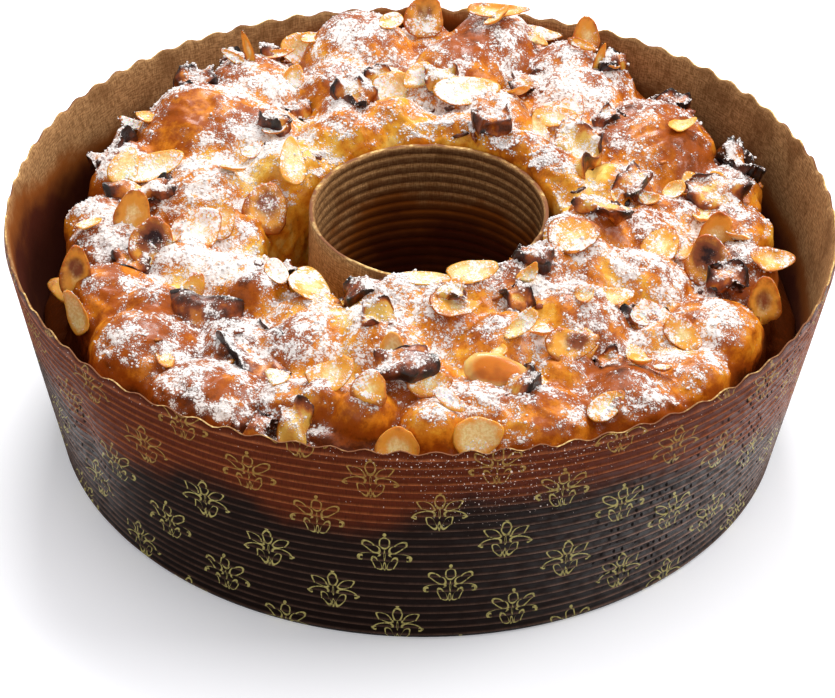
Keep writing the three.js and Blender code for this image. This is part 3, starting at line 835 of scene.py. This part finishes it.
bare_or_heaped = [
    (147, 80, 9, -0.8), (28, 81, 9, -0.75), (122, 72, 14, 0.15), (55, 68, 14, 0.1),
    (195, 55, 12, 0.15), (198, 88, 15, -0.2), (207, 55, 12, 0.3), (220, 47, 8, 0.3),
    (219, 59, 5, -0.7), (254, 52, 8, 0.2), (282, 66, 8, -0.25), (300, 58, 8, -0.3),
    (23, 54, 8, -0.35), (260, 99, 9, -0.4), (290, 98, 8, -0.15), (80, 84, 8, -0.35),
    (208, 96, 9, -0.3), (335, 92, 12, -0.2), (94, 46, 8, -0.3), (262, 66, 6, -0.2),
    (330, 80, 6, -0.2), (305, 86, 15, -0.2), (350, 86, 14, -0.15), (40, 86, 16, -0.15),
    (345, 50, 12, -0.2), (240, 60, 8, 0.1), (217, 76, 12, -0.15), (300, 84, 14, -0.1),
    (92, 88, 16, -0.12), (187, 58, 10, 0.2), (160, 60, 12, 0.22), (174, 64, 11, 0.2),
    (85, 50, 14, 0.15),
]

# Browner on the mounds, with painted shade in the creases near the wall, along the wall and down the
# outer flank
between = np.clip((swollen + crease) / (crease + 6), 0, 1)
bake_and_painted_shade = 0.25 + 0.45 * between + 0.3 * noise_at(places, 14, 2.2) + 0.2 * noise_at(places, 5, 3.1)
bake_and_painted_shade += patches_at(places, browned)
dough_radius = np.hypot(places[:, 0], places[:, 1])
# Painted shade: darker in the outer creases, along the wall and low on the outer flank, where the crust
# lies in shade between the mounds and the case
bake_and_painted_shade += 1.3 * np.clip(0.5 - between, 0, 1) * smooth_share(dough_radius, 70, 90)
bake_and_painted_shade += 0.4 * smooth_share(wall_inside(dough_angle, places[:, 2]) - dough_radius, 14, 2)
bake_and_painted_shade += 0.45 * smooth_share(places[:, 2], 58, 44) * (dough_radius > core_radius)
note_values(dough_mesh, "bake_and_painted_shade", bake_and_painted_shade)


def dusting_at(points, normals):
    """How much icing sugar lies at places on top of the cake."""
    drift = 0.68 + 0.3 * noise_at(points, 15, 5.5) + 0.46 * noise_at(points, 6, 6.5)
    drift += 0.24 * noise_at(points, 2.6, 7.5)
    drift += patches_at(points, bare_or_heaped)
    return drift * smooth_share(normals[:, 2], 0.2, 0.9) * smooth_share(points[:, 2], 42, 56)


dusting = dusting_at(places, read_normals(dough_mesh)) + 0.12 * (between - 0.55)
note_values(dough_mesh, "dusting", dusting)

# The sugar lies as round grains that grow together into clumps where more of it fell. For each
# size of grain: its size, the dusting where it starts and is widest, its widest reach and opacity
clump_size = 2.2
sugar_grains = ((0.95, 0.14, 1.08, 0.76, 0.96), (0.45, 0.1, 1.02, 0.68, 0.85))
sugar, sugar_in, sugar_out = new_group(
    "icing_sugar", {"Dusting": "Float"}, {"Cover": "Float", "Colour": "Color", "Height": "Float"}
)
place = own_place(sugar)
clump = mottle(sugar, place, 1 / (clump_size * MM), 3.0, 0.65)
density = plus(sugar, sugar_in["Dusting"], times(sugar, minus(sugar, clump, 0.5), 1.3))
cover = fade(sugar, density, 0.3, 1.3, 0.0, 0.3)
for grain, thin, thick, widest, opacity in sugar_grains:
    from_grain = put(sugar, "TexVoronoi", {"Vector": place, "Scale": 1 / (grain * MM)})
    outside = minus(sugar, from_grain, fade(sugar, density, thin, thick, -0.08, widest))
    cover = calc(sugar, "MAXIMUM", cover, fade(sugar, outside, -0.13, 0.13, opacity, 0.0))
sugar.links.new(cover, sugar_out["Cover"])
white = tint(sugar, fade(sugar, clump, 0.3, 0.7), paint(230, 219, 212), paint(254, 251, 249))
sugar.links.new(white, sugar_out["Colour"])
sugar.links.new(times(sugar, cover, clump), sugar_out["Height"])

crust, tree, shader = new_material("baked_crust", Specular_IOR_Level=0.1, Coat_Roughness=0.12)
place = own_place(tree)
shade = times(tree, minus(tree, mottle(tree, place, 190.0, 5.0, 0.65), 0.5), 1.5)
shade = plus(tree, value_of(tree, "bake_and_painted_shade"), shade)
browning = [
    (0.0, 0.3, (238, 170, 52)), (0.22, 0.55, (216, 126, 26)),
    (0.48, 0.85, (160, 76, 14)), (0.9, 1.35, (84, 34, 4)),
]
brown = turned_by(tree, shade, paint(250, 210, 110), browning)
freckles = mottle(tree, place, 640.0, 3.0, 0.7)
brown = tint(tree, fade(tree, freckles, 0.52, 0.72, 0.0, 0.4), brown, paint(134, 54, 6))
seen = use_group(tree, sugar, {"Dusting": value_of(tree, "dusting")})
sugared = tint(tree, seen["Cover"], brown, seen["Colour"])
pores = mottle(tree, place, 700.0, 3.0, 0.6)
skin = plus(tree, times(tree, pores, 0.4), seen["Height"])
moist = fade(tree, mottle(tree, place, 210.0, 3.0, 0.6), 0.45, 0.65, 0.0, 0.4)
coat = times(tree, moist, fade(tree, seen["Cover"], 0.0, 0.6, 1.0, 0.0))
dress(
    tree, shader, Base_Color=sugared, Roughness=fade(tree, seen["Cover"], 0.0, 1.0, 0.4, 0.95),
    Coat_Weight=coat, Normal=raised(tree, skin, 0.8, 0.55),
)
dough_mesh.materials.append(crust)
as_piece("dough", dough_mesh, "baked_dough", "cake")


# --- Flaked almonds ------------------------------------------------------------------------------
# Thin cream slices of almond, cupped and toasted at their rims, a few with a dark middle. They were
# strewn on the raw dough and baked onto it, so their lower edges are sunk in the crust.

flake_thickness = 0.9
flake_cup = (0.5, 2.2)
flake_stands = 0.19
flake_clear = 0.2
half_dome = 2.4
small_flakes = 34
sugar_on_top = 0.7
cake_top = cad_box[1][2] / MM

# Flakes: angle, distance from the axis, length, width, direction of the length, direction the face
# leans to, lean, and toasting: 0 is pale, 1 golden, and more than 1 has a dark middle
almond_flakes = [
    (270, 37, 16, 9, 0, 90, 12, 0.1), (290, 40, 14, 8, 15, 270, 15, 0.2),
    (168, 44, 15, 13, 80, 300, 48, 1.6), (150, 42, 16, 8, 100, 320, 35, 0.2),
    (161, 80, 19, 9, 25, 270, 22, 0.3), (164, 87, 13, 8, 75, 300, 35, 0.1),
    (181, 79, 14, 10, 80, 270, 62, 0.9), (190, 74, 14, 13, 90, 285, 48, 2.0),
    (184, 61, 15, 13, 40, 270, 25, 0.9), (180, 55, 12, 8, 70, 270, 30, 0.8),
    (190, 97, 14, 9, 150, 250, 20, 0.9), (197, 96, 15, 9, 75, 250, 62, 1.6),
    (203, 99, 13, 6, 100, 245, 66, 0.1), (209, 71, 13, 9, 50, 280, 40, 0.9),
    (200, 43, 15, 12, 60, 330, 25, 0.3), (229, 45, 18, 12, 95, 20, 20, 0.6),
    (281, 50, 14, 10, 0, 270, 12, 1.3), (267, 98, 10, 11, 90, 270, 60, 0.7),
    (279, 96, 13, 10, 15, 270, 55, 0.1), (302, 74, 15, 10, 20, 270, 30, 1.7),
    (306, 71, 12, 8, 110, 230, 35, 0.4), (335, 45, 15, 12, 10, 270, 20, 1.0),
    (325, 74, 13, 8, -20, 270, 20, 1.6), (323, 86, 12, 8, -45, 270, 30, 0.9),
    (349, 79, 14, 13, 90, 260, 48, 2.0), (358, 81, 14, 10, 80, 270, 62, 0.9),
    (17, 81, 17, 9, -35, 270, 20, 0.3), (14, 87, 14, 7, 110, 240, 30, 0.2),
    (351, 96, 14, 8, 20, 320, 25, 0.95), (344, 96, 16, 10, 100, 290, 62, 1.5),
    (97, 59, 17, 14, 15, 270, 35, 0.2), (98, 73, 17, 8, -20, 270, 15, 0.4),
    (77, 56, 20, 11, 5, 270, 15, 0.5), (91, 61, 12, 9, 70, 280, 30, 0.3),
    (55, 63, 16, 8, 30, 280, 20, 0.9), (49, 64, 13, 8, 70, 300, 25, 1.0),
    (48, 56, 13, 7, 0, 270, 25, 0.6), (90, 96, 14, 12, 80, 270, 48, 1.4),
    (77, 97, 19, 6, 0, 270, 12, 0.8), (61, 99, 12, 8, 85, 260, 60, 1.0),
    (112, 98, 14, 10, 45, 300, 40, 0.5), (148, 97, 12, 4, -20, 270, 25, 1.0),
    (299, 97, 12, 7, 45, 280, 25, 0.8), (119, 78, 8, 6, 70, 270, 45, 0.5),
    (124, 92, 11, 3, 100, 260, 70, 0.9), (119, 92, 14, 3, 10, 270, 25, 1.0),
    (127, 93, 8, 3, 150, 270, 40, 0.9), (56, 92, 11, 3, 80, 280, 70, 0.9),
    (60, 93, 9, 3, -20, 270, 45, 0.9), (188, 68, 6, 5, 30, 270, 20, 0.9),
    (70, 100, 14, 5, -10, 270, 25, 0.7), (322, 64, 12, 7, 10, 270, 15, 0.8),
    (351, 66, 13, 10, 60, 270, 20, 0.8), (264, 68, 11, 7, 80, 260, 50, 0.2),
    (272, 80, 12, 7, 10, 270, 30, 1.0), (279, 45, 9, 6, 40, 270, 20, 0.6),
    (254, 81, 13, 11, 20, 260, 28, 0.7), (262, 89, 11, 9, 80, 270, 40, 1.0),
]

# One almond half, domed and glazed to amber, in the same columns
glazed_half = (285, 76, 17, 10, -8, 265, 25, 0.9)


def surface_radius(angle, along):
    places, _ = dough_surface(angle, along)
    return np.hypot(places[:, 0], places[:, 1])


def spots_on_dough(rows):
    """Places on the dough for rows that begin with an angle in degrees and a distance."""
    turn = np.radians(np.array([row[0] for row in rows], float))
    distance = np.array([row[1] for row in rows], float)
    return dough_surface(turn, along_at(turn, distance, surface_radius))[0]


def facing(direction, leans_to, lean):
    """Turns a topping's length to one direction and leans its face towards another."""
    towards = math.radians(leans_to)
    axis = Vector((-math.sin(towards), math.cos(towards), 0))
    along = Matrix.Rotation(math.radians(direction), 3, "Z")
    return Matrix.Rotation(math.radians(lean), 3, axis) @ along


def almond_flake(length, width, dome, draw):
    """One flake as a bmesh, flattened from a sphere: an uneven rim, a cup and often a broken side."""
    flake = bmesh.new()
    bmesh.ops.create_uvsphere(flake, u_segments=24, v_segments=8, radius=1)
    phase = draw.uniform(0, 10)
    twist = draw.uniform(-0.08, 0.08)
    broken_at = draw.uniform(0.25, 2.2) + dome
    broken_turn = draw.uniform(0, math.tau)
    cup = draw.uniform(*flake_cup)
    for point in flake.verts:
        x, y, z = point.co
        turn = math.atan2(y, x)
        uneven = 1 + 0.09 * noise.noise((1.6 * math.cos(turn), 1.6 * math.sin(turn), phase))
        uneven += 0.05 * noise.noise((5 * math.cos(turn), 5 * math.sin(turn), phase))
        past = x * math.cos(broken_turn) + y * math.sin(broken_turn) - broken_at
        past += 0.07 * noise.noise((6 * x, 6 * y, phase))
        if past > 0:
            x -= past * math.cos(broken_turn)
            y -= past * math.sin(broken_turn)
        point.co.x = x * uneven * length / 2
        point.co.y = y * uneven * width / 2 * (1 - 0.25 * x)
        waved = 0.35 * noise.noise((1.3 * x, 1.3 * y, phase + 5))
        cupped = cup * (x * x - 0.3) + 0.6 * cup * y * y + twist * point.co.x * point.co.y / 3 + waved
        point.co.z = math.copysign(abs(z) ** 0.6, z) * flake_thickness / 2 + cupped + dome * max(z, 0)
    return flake


def taken_apart(shape):
    """The places and faces of a bmesh that has served its turn."""
    places = np.array([point.co for point in shape.verts])
    faces = [[corner.index for corner in face.verts] for face in shape.faces]
    shape.free()
    return places, faces


def joined(name, shapes):
    """Many small shapes as one mesh. Each comes as places, faces and its own values by name."""
    places, faces, values, start = [], [], {}, 0
    for own_places, own_faces, own_values in shapes:
        places.append(own_places)
        faces.extend([tuple(corner + start for corner in face) for face in own_faces])
        start += len(own_places)
        for label, numbers in own_values.items():
            values.setdefault(label, []).append(numbers)
    mesh = bpy.data.meshes.new(name)
    mesh.from_pydata((np.concatenate(places) * MM).tolist(), [], faces)
    mesh.shade_smooth()
    for label, numbers in values.items():
        note_values(mesh, label, np.concatenate(numbers))
    return mesh


def read_values(mesh, name):
    return read_all(mesh.attributes[name].data, "value", kind=np.float32)


# Small flakes are strewn between the others, with the same columns drawn between these limits
draw = np.random.default_rng(7)
smallest = (0, 44, 6, 4, 0, 0, 5, 0)
largest = (360, 98, 11, 7, 360, 360, 40, 1)
strewn = [
    [draw.uniform(low, high) for low, high in zip(smallest, largest)] for _ in range(small_flakes)
]
all_flakes = almond_flakes + strewn + [glazed_half]
flake_spots = spots_on_dough(all_flakes)
flake_shapes = []
for row, spot in zip(all_flakes, flake_spots):
    _, distance, length, width, direction, leans_to, lean, toasting = row
    glazed = row is glazed_half
    bare_places, faces = taken_apart(almond_flake(length, width, half_dome if glazed else 0, draw))
    rim = np.hypot(bare_places[:, 0] / length * 2, bare_places[:, 1] / width * 2)
    turned = bare_places @ np.array(facing(direction, leans_to, lean)).T
    stands = flake_stands * length * math.sin(math.radians(lean)) + flake_clear
    out = max(distance / math.hypot(spot[0], spot[1]), 1)
    turned += spot * (out, out, 1) + (0, 0, stands)
    turned[:, 2] -= max(turned[:, 2].max() + sugar_on_top - cake_top, 0)
    middle_off = np.hypot(bare_places[:, 0] - 0.08 * length, bare_places[:, 1]) / width * 3.4
    dark = np.exp(-(middle_off**2)) * max(toasting - 1, 0) * 1.3
    toast = np.full(len(turned), min(toasting, 1))
    amber = np.full(len(turned), float(glazed))
    flake_shapes.append((turned, faces, {"rim": rim, "toast": toast, "spot": dark, "amber": amber}))
flake_mesh = joined("almond_flakes", flake_shapes)
flake_places = read_places(flake_mesh) / MM
held = 0.95 - 0.7 * read_values(flake_mesh, "amber")
note_values(flake_mesh, "dusting", dusting_at(flake_places, read_normals(flake_mesh)) * held)

almond, tree, shader = new_material(
    "toasted_almond", Specular_IOR_Level=0.1, Coat_Roughness=0.15,
    Subsurface_Weight=0.4, Subsurface_Scale=0.0015,
)
place = own_place(tree)
spread = mottle(tree, place, 380.0, 3.0, 0.6)
patchy = mottle(tree, place, 160.0, 2.0, 0.5)
veins = mottle(tree, place, 1400.0, 2.0, 0.6)
toasted = plus(tree, value_of(tree, "rim"), times(tree, value_of(tree, "toast"), 0.55))
toasted = plus(tree, toasted, times(tree, spread, 0.9))
flesh = tint(tree, fade(tree, veins, 0.35, 0.65), paint(236, 198, 126), paint(250, 226, 166))
flesh = turned_by(tree, toasted, flesh, [(1.05, 1.5, (234, 164, 62)), (1.6, 2.05, (168, 92, 30))])
burnt = times(tree, value_of(tree, "spot"), fade(tree, spread, 0.3, 0.7, 0.8, 1.25))
flesh = turned_by(tree, burnt, flesh, [(0.1, 0.6, (142, 76, 44)), (0.6, 1.15, (48, 24, 24))])
thin_rim = fade(tree, value_of(tree, "rim"), 0.6, 0.98)
glaze = tint(tree, thin_rim, paint(210, 118, 28), paint(250, 206, 120))
glaze = tint(tree, fade(tree, patchy, 0.45, 0.65, 0.0, 0.6), glaze, paint(158, 74, 20))
flesh = tint(tree, value_of(tree, "amber"), flesh, glaze)
seen = use_group(tree, sugar, {"Dusting": value_of(tree, "dusting")})
shine = plus(tree, times(tree, value_of(tree, "amber"), 0.3), 0.15)
dress(
    tree, shader, Base_Color=tint(tree, seen["Cover"], flesh, seen["Colour"]),
    Roughness=fade(tree, seen["Cover"], 0.0, 1.0, 0.42, 0.95),
    Coat_Weight=times(tree, shine, fade(tree, seen["Cover"], 0.0, 0.6, 1.0, 0.0)),
    Normal=raised(tree, plus(tree, seen["Height"], times(tree, veins, 0.4)), 0.5, 0.25),
)
flake_mesh.materials.append(almond)
as_piece("almond_flakes", flake_mesh, "baked_dough", "cake")


# --- Pieces of apple -----------------------------------------------------------------------------
# Slices and chunks of apple pressed into the dough. In the oven they have shrunk, wrinkled and
# curled, and their thin edges have scorched nearly black while the flesh turned to caramel.

# Pieces: angle, distance from the axis, length, width, thickness, direction of the length,
# direction the face leans to, lean, bend, and roasting from 0, pale, to 1, scorched
apple_pieces = [
    (217, 74, 24, 16, 5, -10, 250, 35, 100, 0.95), (236, 74, 24, 16, 7, -58, 240, 15, 30, 0.85),
    (246, 98, 10, 7, 6, 60, 250, 20, 0, 0.8), (251, 94, 13, 10, 8, 80, 260, 30, 20, 0.3),
    (249, 40, 14, 9, 8, 15, 270, 10, 15, 0.8), (192, 80, 11, 9, 7, 0, 270, 15, 0, 0.95),
    (168, 79, 19, 12, 9, 15, 250, 15, 10, 0.65), (135, 94, 12, 9, 8, 5, 270, 5, 0, 1.0),
    (125, 97, 9, 6, 6, -20, 270, 0, 0, 0.9), (119, 94, 10, 6, 5, 90, 270, 60, 0, 0.7),
    (156, 96, 17, 8, 8, 52, 150, 20, 10, 0.9), (123, 66, 9, 7, 6, 20, 270, 10, 0, 0.7),
    (135, 60, 9, 6, 6, -30, 270, 10, 0, 0.7), (110, 58, 13, 9, 7, -30, 280, 15, 15, 0.7),
    (101, 69, 9, 7, 6, 60, 270, 20, 0, 0.6), (85, 62, 11, 8, 7, 20, 270, 10, 0, 0.3),
    (66, 77, 12, 8, 7, 10, 270, 10, 15, 0.8), (41, 95, 12, 9, 8, -5, 270, 5, 0, 1.0),
    (22, 97, 17, 8, 8, -60, 30, 20, 10, 0.9), (11, 83, 19, 12, 9, -15, 290, 15, 10, 0.65),
    (15, 61, 12, 8, 7, 60, 270, 15, 20, 0.7), (41, 70, 9, 6, 6, 40, 270, 10, 0, 0.7),
    (55, 96, 10, 6, 6, 20, 270, 20, 0, 0.8), (62, 41, 11, 9, 8, 20, 270, 0, 0, 0.5),
    (346, 85, 11, 9, 7, 0, 270, 15, 0, 0.9), (317, 41, 11, 8, 7, -30, 270, 10, 10, 0.75),
    (301, 50, 10, 7, 6, -60, 270, 10, 0, 0.7), (354, 50, 15, 5, 6, -15, 270, 10, 40, 0.6),
    (325, 72, 13, 9, 7, -10, 270, 10, 15, 0.85), (309, 78, 9, 7, 7, 30, 270, 20, 0, 0.85),
    (267, 75, 15, 11, 6, 10, 270, 20, 30, 0.9), (288, 82, 12, 9, 8, 50, 270, 25, 10, 0.8),
    (280, 46, 8, 6, 5, 0, 270, 10, 0, 0.1), (214, 46, 13, 9, 7, 20, 250, 15, 0, 0.35),
    (31, 50, 18, 14, 9, 70, 240, 20, 15, 0.0), (259, 56, 10, 8, 6, 0, 270, 10, 0, 0.2),
]
apple_stands = 0.22
juice_and_shade_reach = 2.5
juice_and_shade_burn = 0.5
roundness = 0.35
fold_size = 6.5
wrinkle_size = 2.2

roasted, tree, shader = new_material("roasted_apple", Specular_IOR_Level=0.3, Coat_Roughness=0.18)
place = own_place(tree)
fibre = mottle(tree, place, 620.0, 4.0, 0.65)
patchy = mottle(tree, place, 200.0, 2.0, 0.5)
uneven = plus(tree, times(tree, fibre, 0.7), times(tree, patchy, 0.9))
scorch = plus(tree, value_of(tree, "scorch"), minus(tree, uneven, 0.8))
roasting_steps = [
    (0.0, 0.35, (206, 118, 30)), (0.3, 0.6, (140, 62, 14)),
    (0.55, 0.85, (84, 36, 12)), (0.8, 1.15, (24, 13, 10)),
]
flesh = turned_by(tree, scorch, paint(232, 186, 84), roasting_steps)
seen = use_group(tree, sugar, {"Dusting": value_of(tree, "dusting")})
dress(
    tree, shader, Base_Color=tint(tree, seen["Cover"], flesh, seen["Colour"]),
    Roughness=fade(tree, seen["Cover"], 0.0, 1.0, 0.38, 0.95),
    Coat_Weight=fade(tree, seen["Cover"], 0.0, 0.5, 0.35, 0.0),
    Normal=raised(tree, plus(tree, seen["Height"], fibre), 0.7, 0.45),
)

apple_spots = spots_on_dough(apple_pieces)
apple_meshes = []
for number, (piece, spot) in enumerate(zip(apple_pieces, apple_spots), 1):
    _, _, length, width, thickness, direction, leans_to, lean, bend, roasting = piece
    size = Vector((length, width, thickness)) / 2
    chunk = bmesh.new()
    bmesh.ops.create_cube(chunk, size=2)
    bmesh.ops.subdivide_edges(chunk, edges=chunk.edges, cuts=round(length) + 2, use_grid_fill=True)
    bend_radius = length / math.radians(bend) if bend else 0
    scorches = []
    for point in chunk.verts:
        rounded = point.co.lerp(point.co.normalized() * 1.15, roundness)
        rim = min(max(abs(point.co.x), abs(point.co.y)), 1)
        turn = math.atan2(rounded.y, rounded.x)
        around = Vector((math.cos(turn), math.sin(turn), 0.3 * rounded.z))
        outline = 0.92 + 0.3 * noise.noise(around * 1.1 + Vector((number, 0, 0)))
        outline += 0.14 * noise.noise(around * 2.6 + Vector((0, number, 0)))
        start = Vector((rounded.x * size.x * outline, rounded.y * size.y * outline, rounded.z * size.z))
        shift = Vector((number, 2 * number, 0))
        folded = noise.noise(start / fold_size + shift)
        torn = noise.noise(start / wrinkle_size - shift)
        wrinkle = 1 - 2 * abs(noise.noise(start / wrinkle_size * 0.8 + 2 * shift))
        curled = noise.noise(around * 1.5 + Vector((0, 0, number)))
        start.z *= 1 - 0.5 * rim**3
        start.z += thickness * (0.5 * folded + rim**3 * (0.15 + 0.65 * curled))
        start += rounded.normalized() * (0.3 * torn - 0.25 * wrinkle)
        if bend_radius:
            swing = start.x / bend_radius
            arm = bend_radius + start.z
            start.x = arm * math.sin(swing)
            start.z = arm * math.cos(swing) - bend_radius
        point.co = start
        edge_burn = rim**5 * (0.45 + 0.7 * curled) + 0.35 * folded
        scorches.append(roasting * 0.62 + edge_burn + 0.25 * torn - 0.16 * wrinkle)
    mesh = as_mesh(chunk, f"roasted_apple_{number:02d}")
    turned = read_places(mesh) @ np.array(facing(direction, leans_to, lean)).T
    turned += spot + (0, 0, apple_stands * thickness)
    solid_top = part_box(f"apple_{number:02d}")[1][2] / MM
    turned[:, 2] -= max(turned[:, 2].max() + sugar_on_top - solid_top, 0)
    move_to(mesh, turned)
    note_values(mesh, "scorch", np.array(scorches))
    note_values(mesh, "dusting", dusting_at(turned, read_normals(mesh)))
    mesh.materials.append(roasted)
    as_piece(f"roasted_apple_{number:02d}", mesh, "roasted_apple", f"apple_{number:02d}")
    apple_meshes.append(mesh)

# The juice of the pieces has caramelised on the crust round them, and the same darkening is painted
# shade where they sit in the crust
dough_places = read_places(dough_mesh) / MM
for piece, spot in zip(apple_pieces, apple_spots):
    _, _, length, *_, roasting = piece
    away = np.linalg.norm(dough_places - spot, axis=1) / (length / 2 + juice_and_shade_reach)
    bake_and_painted_shade += juice_and_shade_burn * roasting * np.exp(-(away**2))
note_values(dough_mesh, "bake_and_painted_shade", bake_and_painted_shade)


# --- Scorched crumbs -----------------------------------------------------------------------------
# Small dark scraps of apple skin and sugar that have come off the pieces of apple and burnt onto
# the crust, most of them in the hollows beside those pieces.

crumb_count = 110
crumb_reach = 9
draw = np.random.default_rng(11)


def picks(weights, count, draw):
    """Random vertices of a mesh, drawn by their weights."""
    return draw.choice(len(weights), count, p=weights / weights.sum())


on_top = (dough_places[:, 2] > 50) & (read_normals(dough_mesh)[:, 2] > 0.4)
hollow = np.clip(0.7 - between, 0, 1) + 0.03
nearest = np.min([np.linalg.norm(dough_places - spot, axis=1) for spot in apple_spots], axis=0)
hollow *= np.exp(-((nearest / crumb_reach) ** 2)) + 0.01
crumb_shapes = []
for at in picks(hollow * on_top, crumb_count, draw):
    crumb = bmesh.new()
    bmesh.ops.create_icosphere(crumb, subdivisions=2, radius=1)
    size = np.array([draw.uniform(0.9, 2.8), draw.uniform(0.7, 1.6), draw.uniform(0.35, 0.8)])
    shift = Vector(draw.uniform(0, 50, 3))
    for point in crumb.verts:
        point.co *= 1 + 0.7 * noise.noise(point.co * 1.6 + shift)
    bare_places, faces = taken_apart(crumb)
    turn = facing(draw.uniform(0, 360), draw.uniform(0, 360), draw.uniform(0, 40))
    turned = (bare_places * size) @ np.array(turn).T + dough_places[at]
    burn = np.full(len(turned), draw.uniform(0.3, 1.0))
    crumb_shapes.append((turned, faces, {"scorch": burn}))
crumb_mesh = joined("scorched_crumbs", crumb_shapes)
crumb_places = read_places(crumb_mesh) / MM
note_values(crumb_mesh, "dusting", dusting_at(crumb_places, read_normals(crumb_mesh)) * 0.8)
crumb_mesh.materials.append(roasted)
as_piece("scorched_crumbs", crumb_mesh, "roasted_apple", "cake")


# --- Clots and grains of icing sugar -------------------------------------------------------------
# The sugar was sieved over the warm cake. Its coarser clots and many single grains lie loose on the
# fine dusting, on the crust and the toppings alike.


def sown(name, solid, sizes, counts):
    """A small solid strewn over the sugared surfaces, more of it where the dusting is heavy."""
    own_places, own_faces = taken_apart(solid)
    shapes = []
    for mesh, count in counts:
        spots = read_places(mesh) / MM
        upwards = read_normals(mesh)
        weights = np.clip(read_values(mesh, "dusting") - 0.3, 0, 0.6) * (upwards[:, 2] > 0.15)
        if weights.sum() == 0:
            continue
        for at in picks(weights, count, draw):
            size = sizes[0] + (sizes[1] - sizes[0]) * draw.uniform() ** 1.7
            uneven = size * draw.uniform(0.7, 1.3, (len(own_places), 1))
            aside = draw.uniform(-0.6, 0.6, 3)
            aside -= upwards[at] * (aside @ upwards[at])
            lying = own_places * uneven * (1, 1, 0.75) + spots[at] + aside + upwards[at] * size * 0.2
            shapes.append((lying, own_faces, {}))
    mesh = joined(name, shapes)
    mesh.materials.append(sugar_clots)
    as_piece(name, mesh, "baked_dough", "cake")


sugar_clots, tree, shader = new_material("icing_sugar", Roughness=0.95, Specular_IOR_Level=0.2)
place = own_place(tree)
white = tint(tree, mottle(tree, place, 1200.0), paint(236, 228, 226), paint(253, 251, 250))
dress(tree, shader, Base_Color=white)
ball = bmesh.new()
bmesh.ops.create_icosphere(ball, subdivisions=1, radius=1)
clots_on = [(dough_mesh, 6600), (flake_mesh, 500)] + [(mesh, 45) for mesh in apple_meshes]
sown("icing_sugar_clots", ball, (0.2, 0.52), clots_on)
speck = bmesh.new()
bmesh.ops.create_uvsphere(speck, u_segments=4, v_segments=2, radius=1)
grains_on = [(dough_mesh, 18000), (flake_mesh, 1500)] + [(mesh, 100) for mesh in apple_meshes]
sown("icing_sugar_grains", speck, (0.11, 0.27), grains_on)


# --- Table, light and camera ---------------------------------------------------------------------
# The cake stands on a white table in a pale room, under a soft light from above and behind, with a
# weaker one on the right and a faint fill from the front left.

table = bmesh.new()
bmesh.ops.create_grid(table, x_segments=1, y_segments=1, size=3)
table_top = bpy.data.objects.new("table_top", as_mesh(table, "table_top"))
white_top, tree, shader = new_material(
    "white_table", Base_Color=(0.88, 0.88, 0.9, 1), Roughness=0.6, Specular_IOR_Level=0.2,
    Emission_Strength=0.43,
)

# Round the cake, but not under it, the table glows a little. The glow is painted light that lifts the
# table's shadows, and its fading by the cake is a painted shadow.
from_axis = vector_calc(tree, "LENGTH", own_place(tree))
painted_glow = tint(tree, fade(tree, from_axis, 0.055, 0.15), (0, 0, 0, 1), (0.95, 0.95, 1, 1))
dress(tree, shader, Emission_Color=painted_glow)
table_top.data.materials.append(white_top)
bpy.context.scene.collection.objects.link(table_top)

room = bpy.data.worlds.new("studio")
room.use_nodes = True
room_light = room.node_tree.nodes["Background"]
room_light.inputs["Color"].default_value = (1, 1, 1, 1)
room_light.inputs["Strength"].default_value = 0.58
bpy.context.scene.world = room

lamps_face = Vector((0, 0, 0.05))


def soft_light(name, place, size, power):
    """A square studio light that faces the cake."""
    lamp = bpy.data.lights.new(name, "AREA")
    lamp.size = size
    lamp.energy = power
    holder = bpy.data.objects.new(name, lamp)
    turn = (lamps_face - Vector(place)).to_track_quat("-Z", "Y").to_matrix().to_4x4()
    holder.matrix_world = Matrix.Translation(place) @ turn
    bpy.context.scene.collection.objects.link(holder)


soft_light("overhead", (0.0, 0.85, 1.05), 0.6, 16)
soft_light("from_right", (0.9, 0.1, 0.9), 0.6, 7.5)
soft_light("front_fill", (-0.3, -0.95, 0.6), 0.7, 1.0)

camera_distance = 850
lens = bpy.data.cameras.new("camera")
lens.sensor_width = 36
lens.lens = 129.38
lens.clip_start = 0.01
camera = bpy.data.objects.new("camera", lens)
looks_at = Vector((-0.535, 0, 18.04)) * MM
elevation = math.radians(36.7715)
roll = math.radians(0.8818)
back = Vector((0, -math.cos(elevation), math.sin(elevation)))
stand = Matrix.Translation(looks_at + back * camera_distance * MM)
tilt = back.to_track_quat("Z", "Y").to_matrix().to_4x4()
camera.matrix_world = stand @ tilt @ Matrix.Rotation(roll, 4, "Z")
bpy.context.scene.collection.objects.link(camera)
bpy.context.scene.camera = camera
bpy.context.scene.view_settings.view_transform = "Standard"
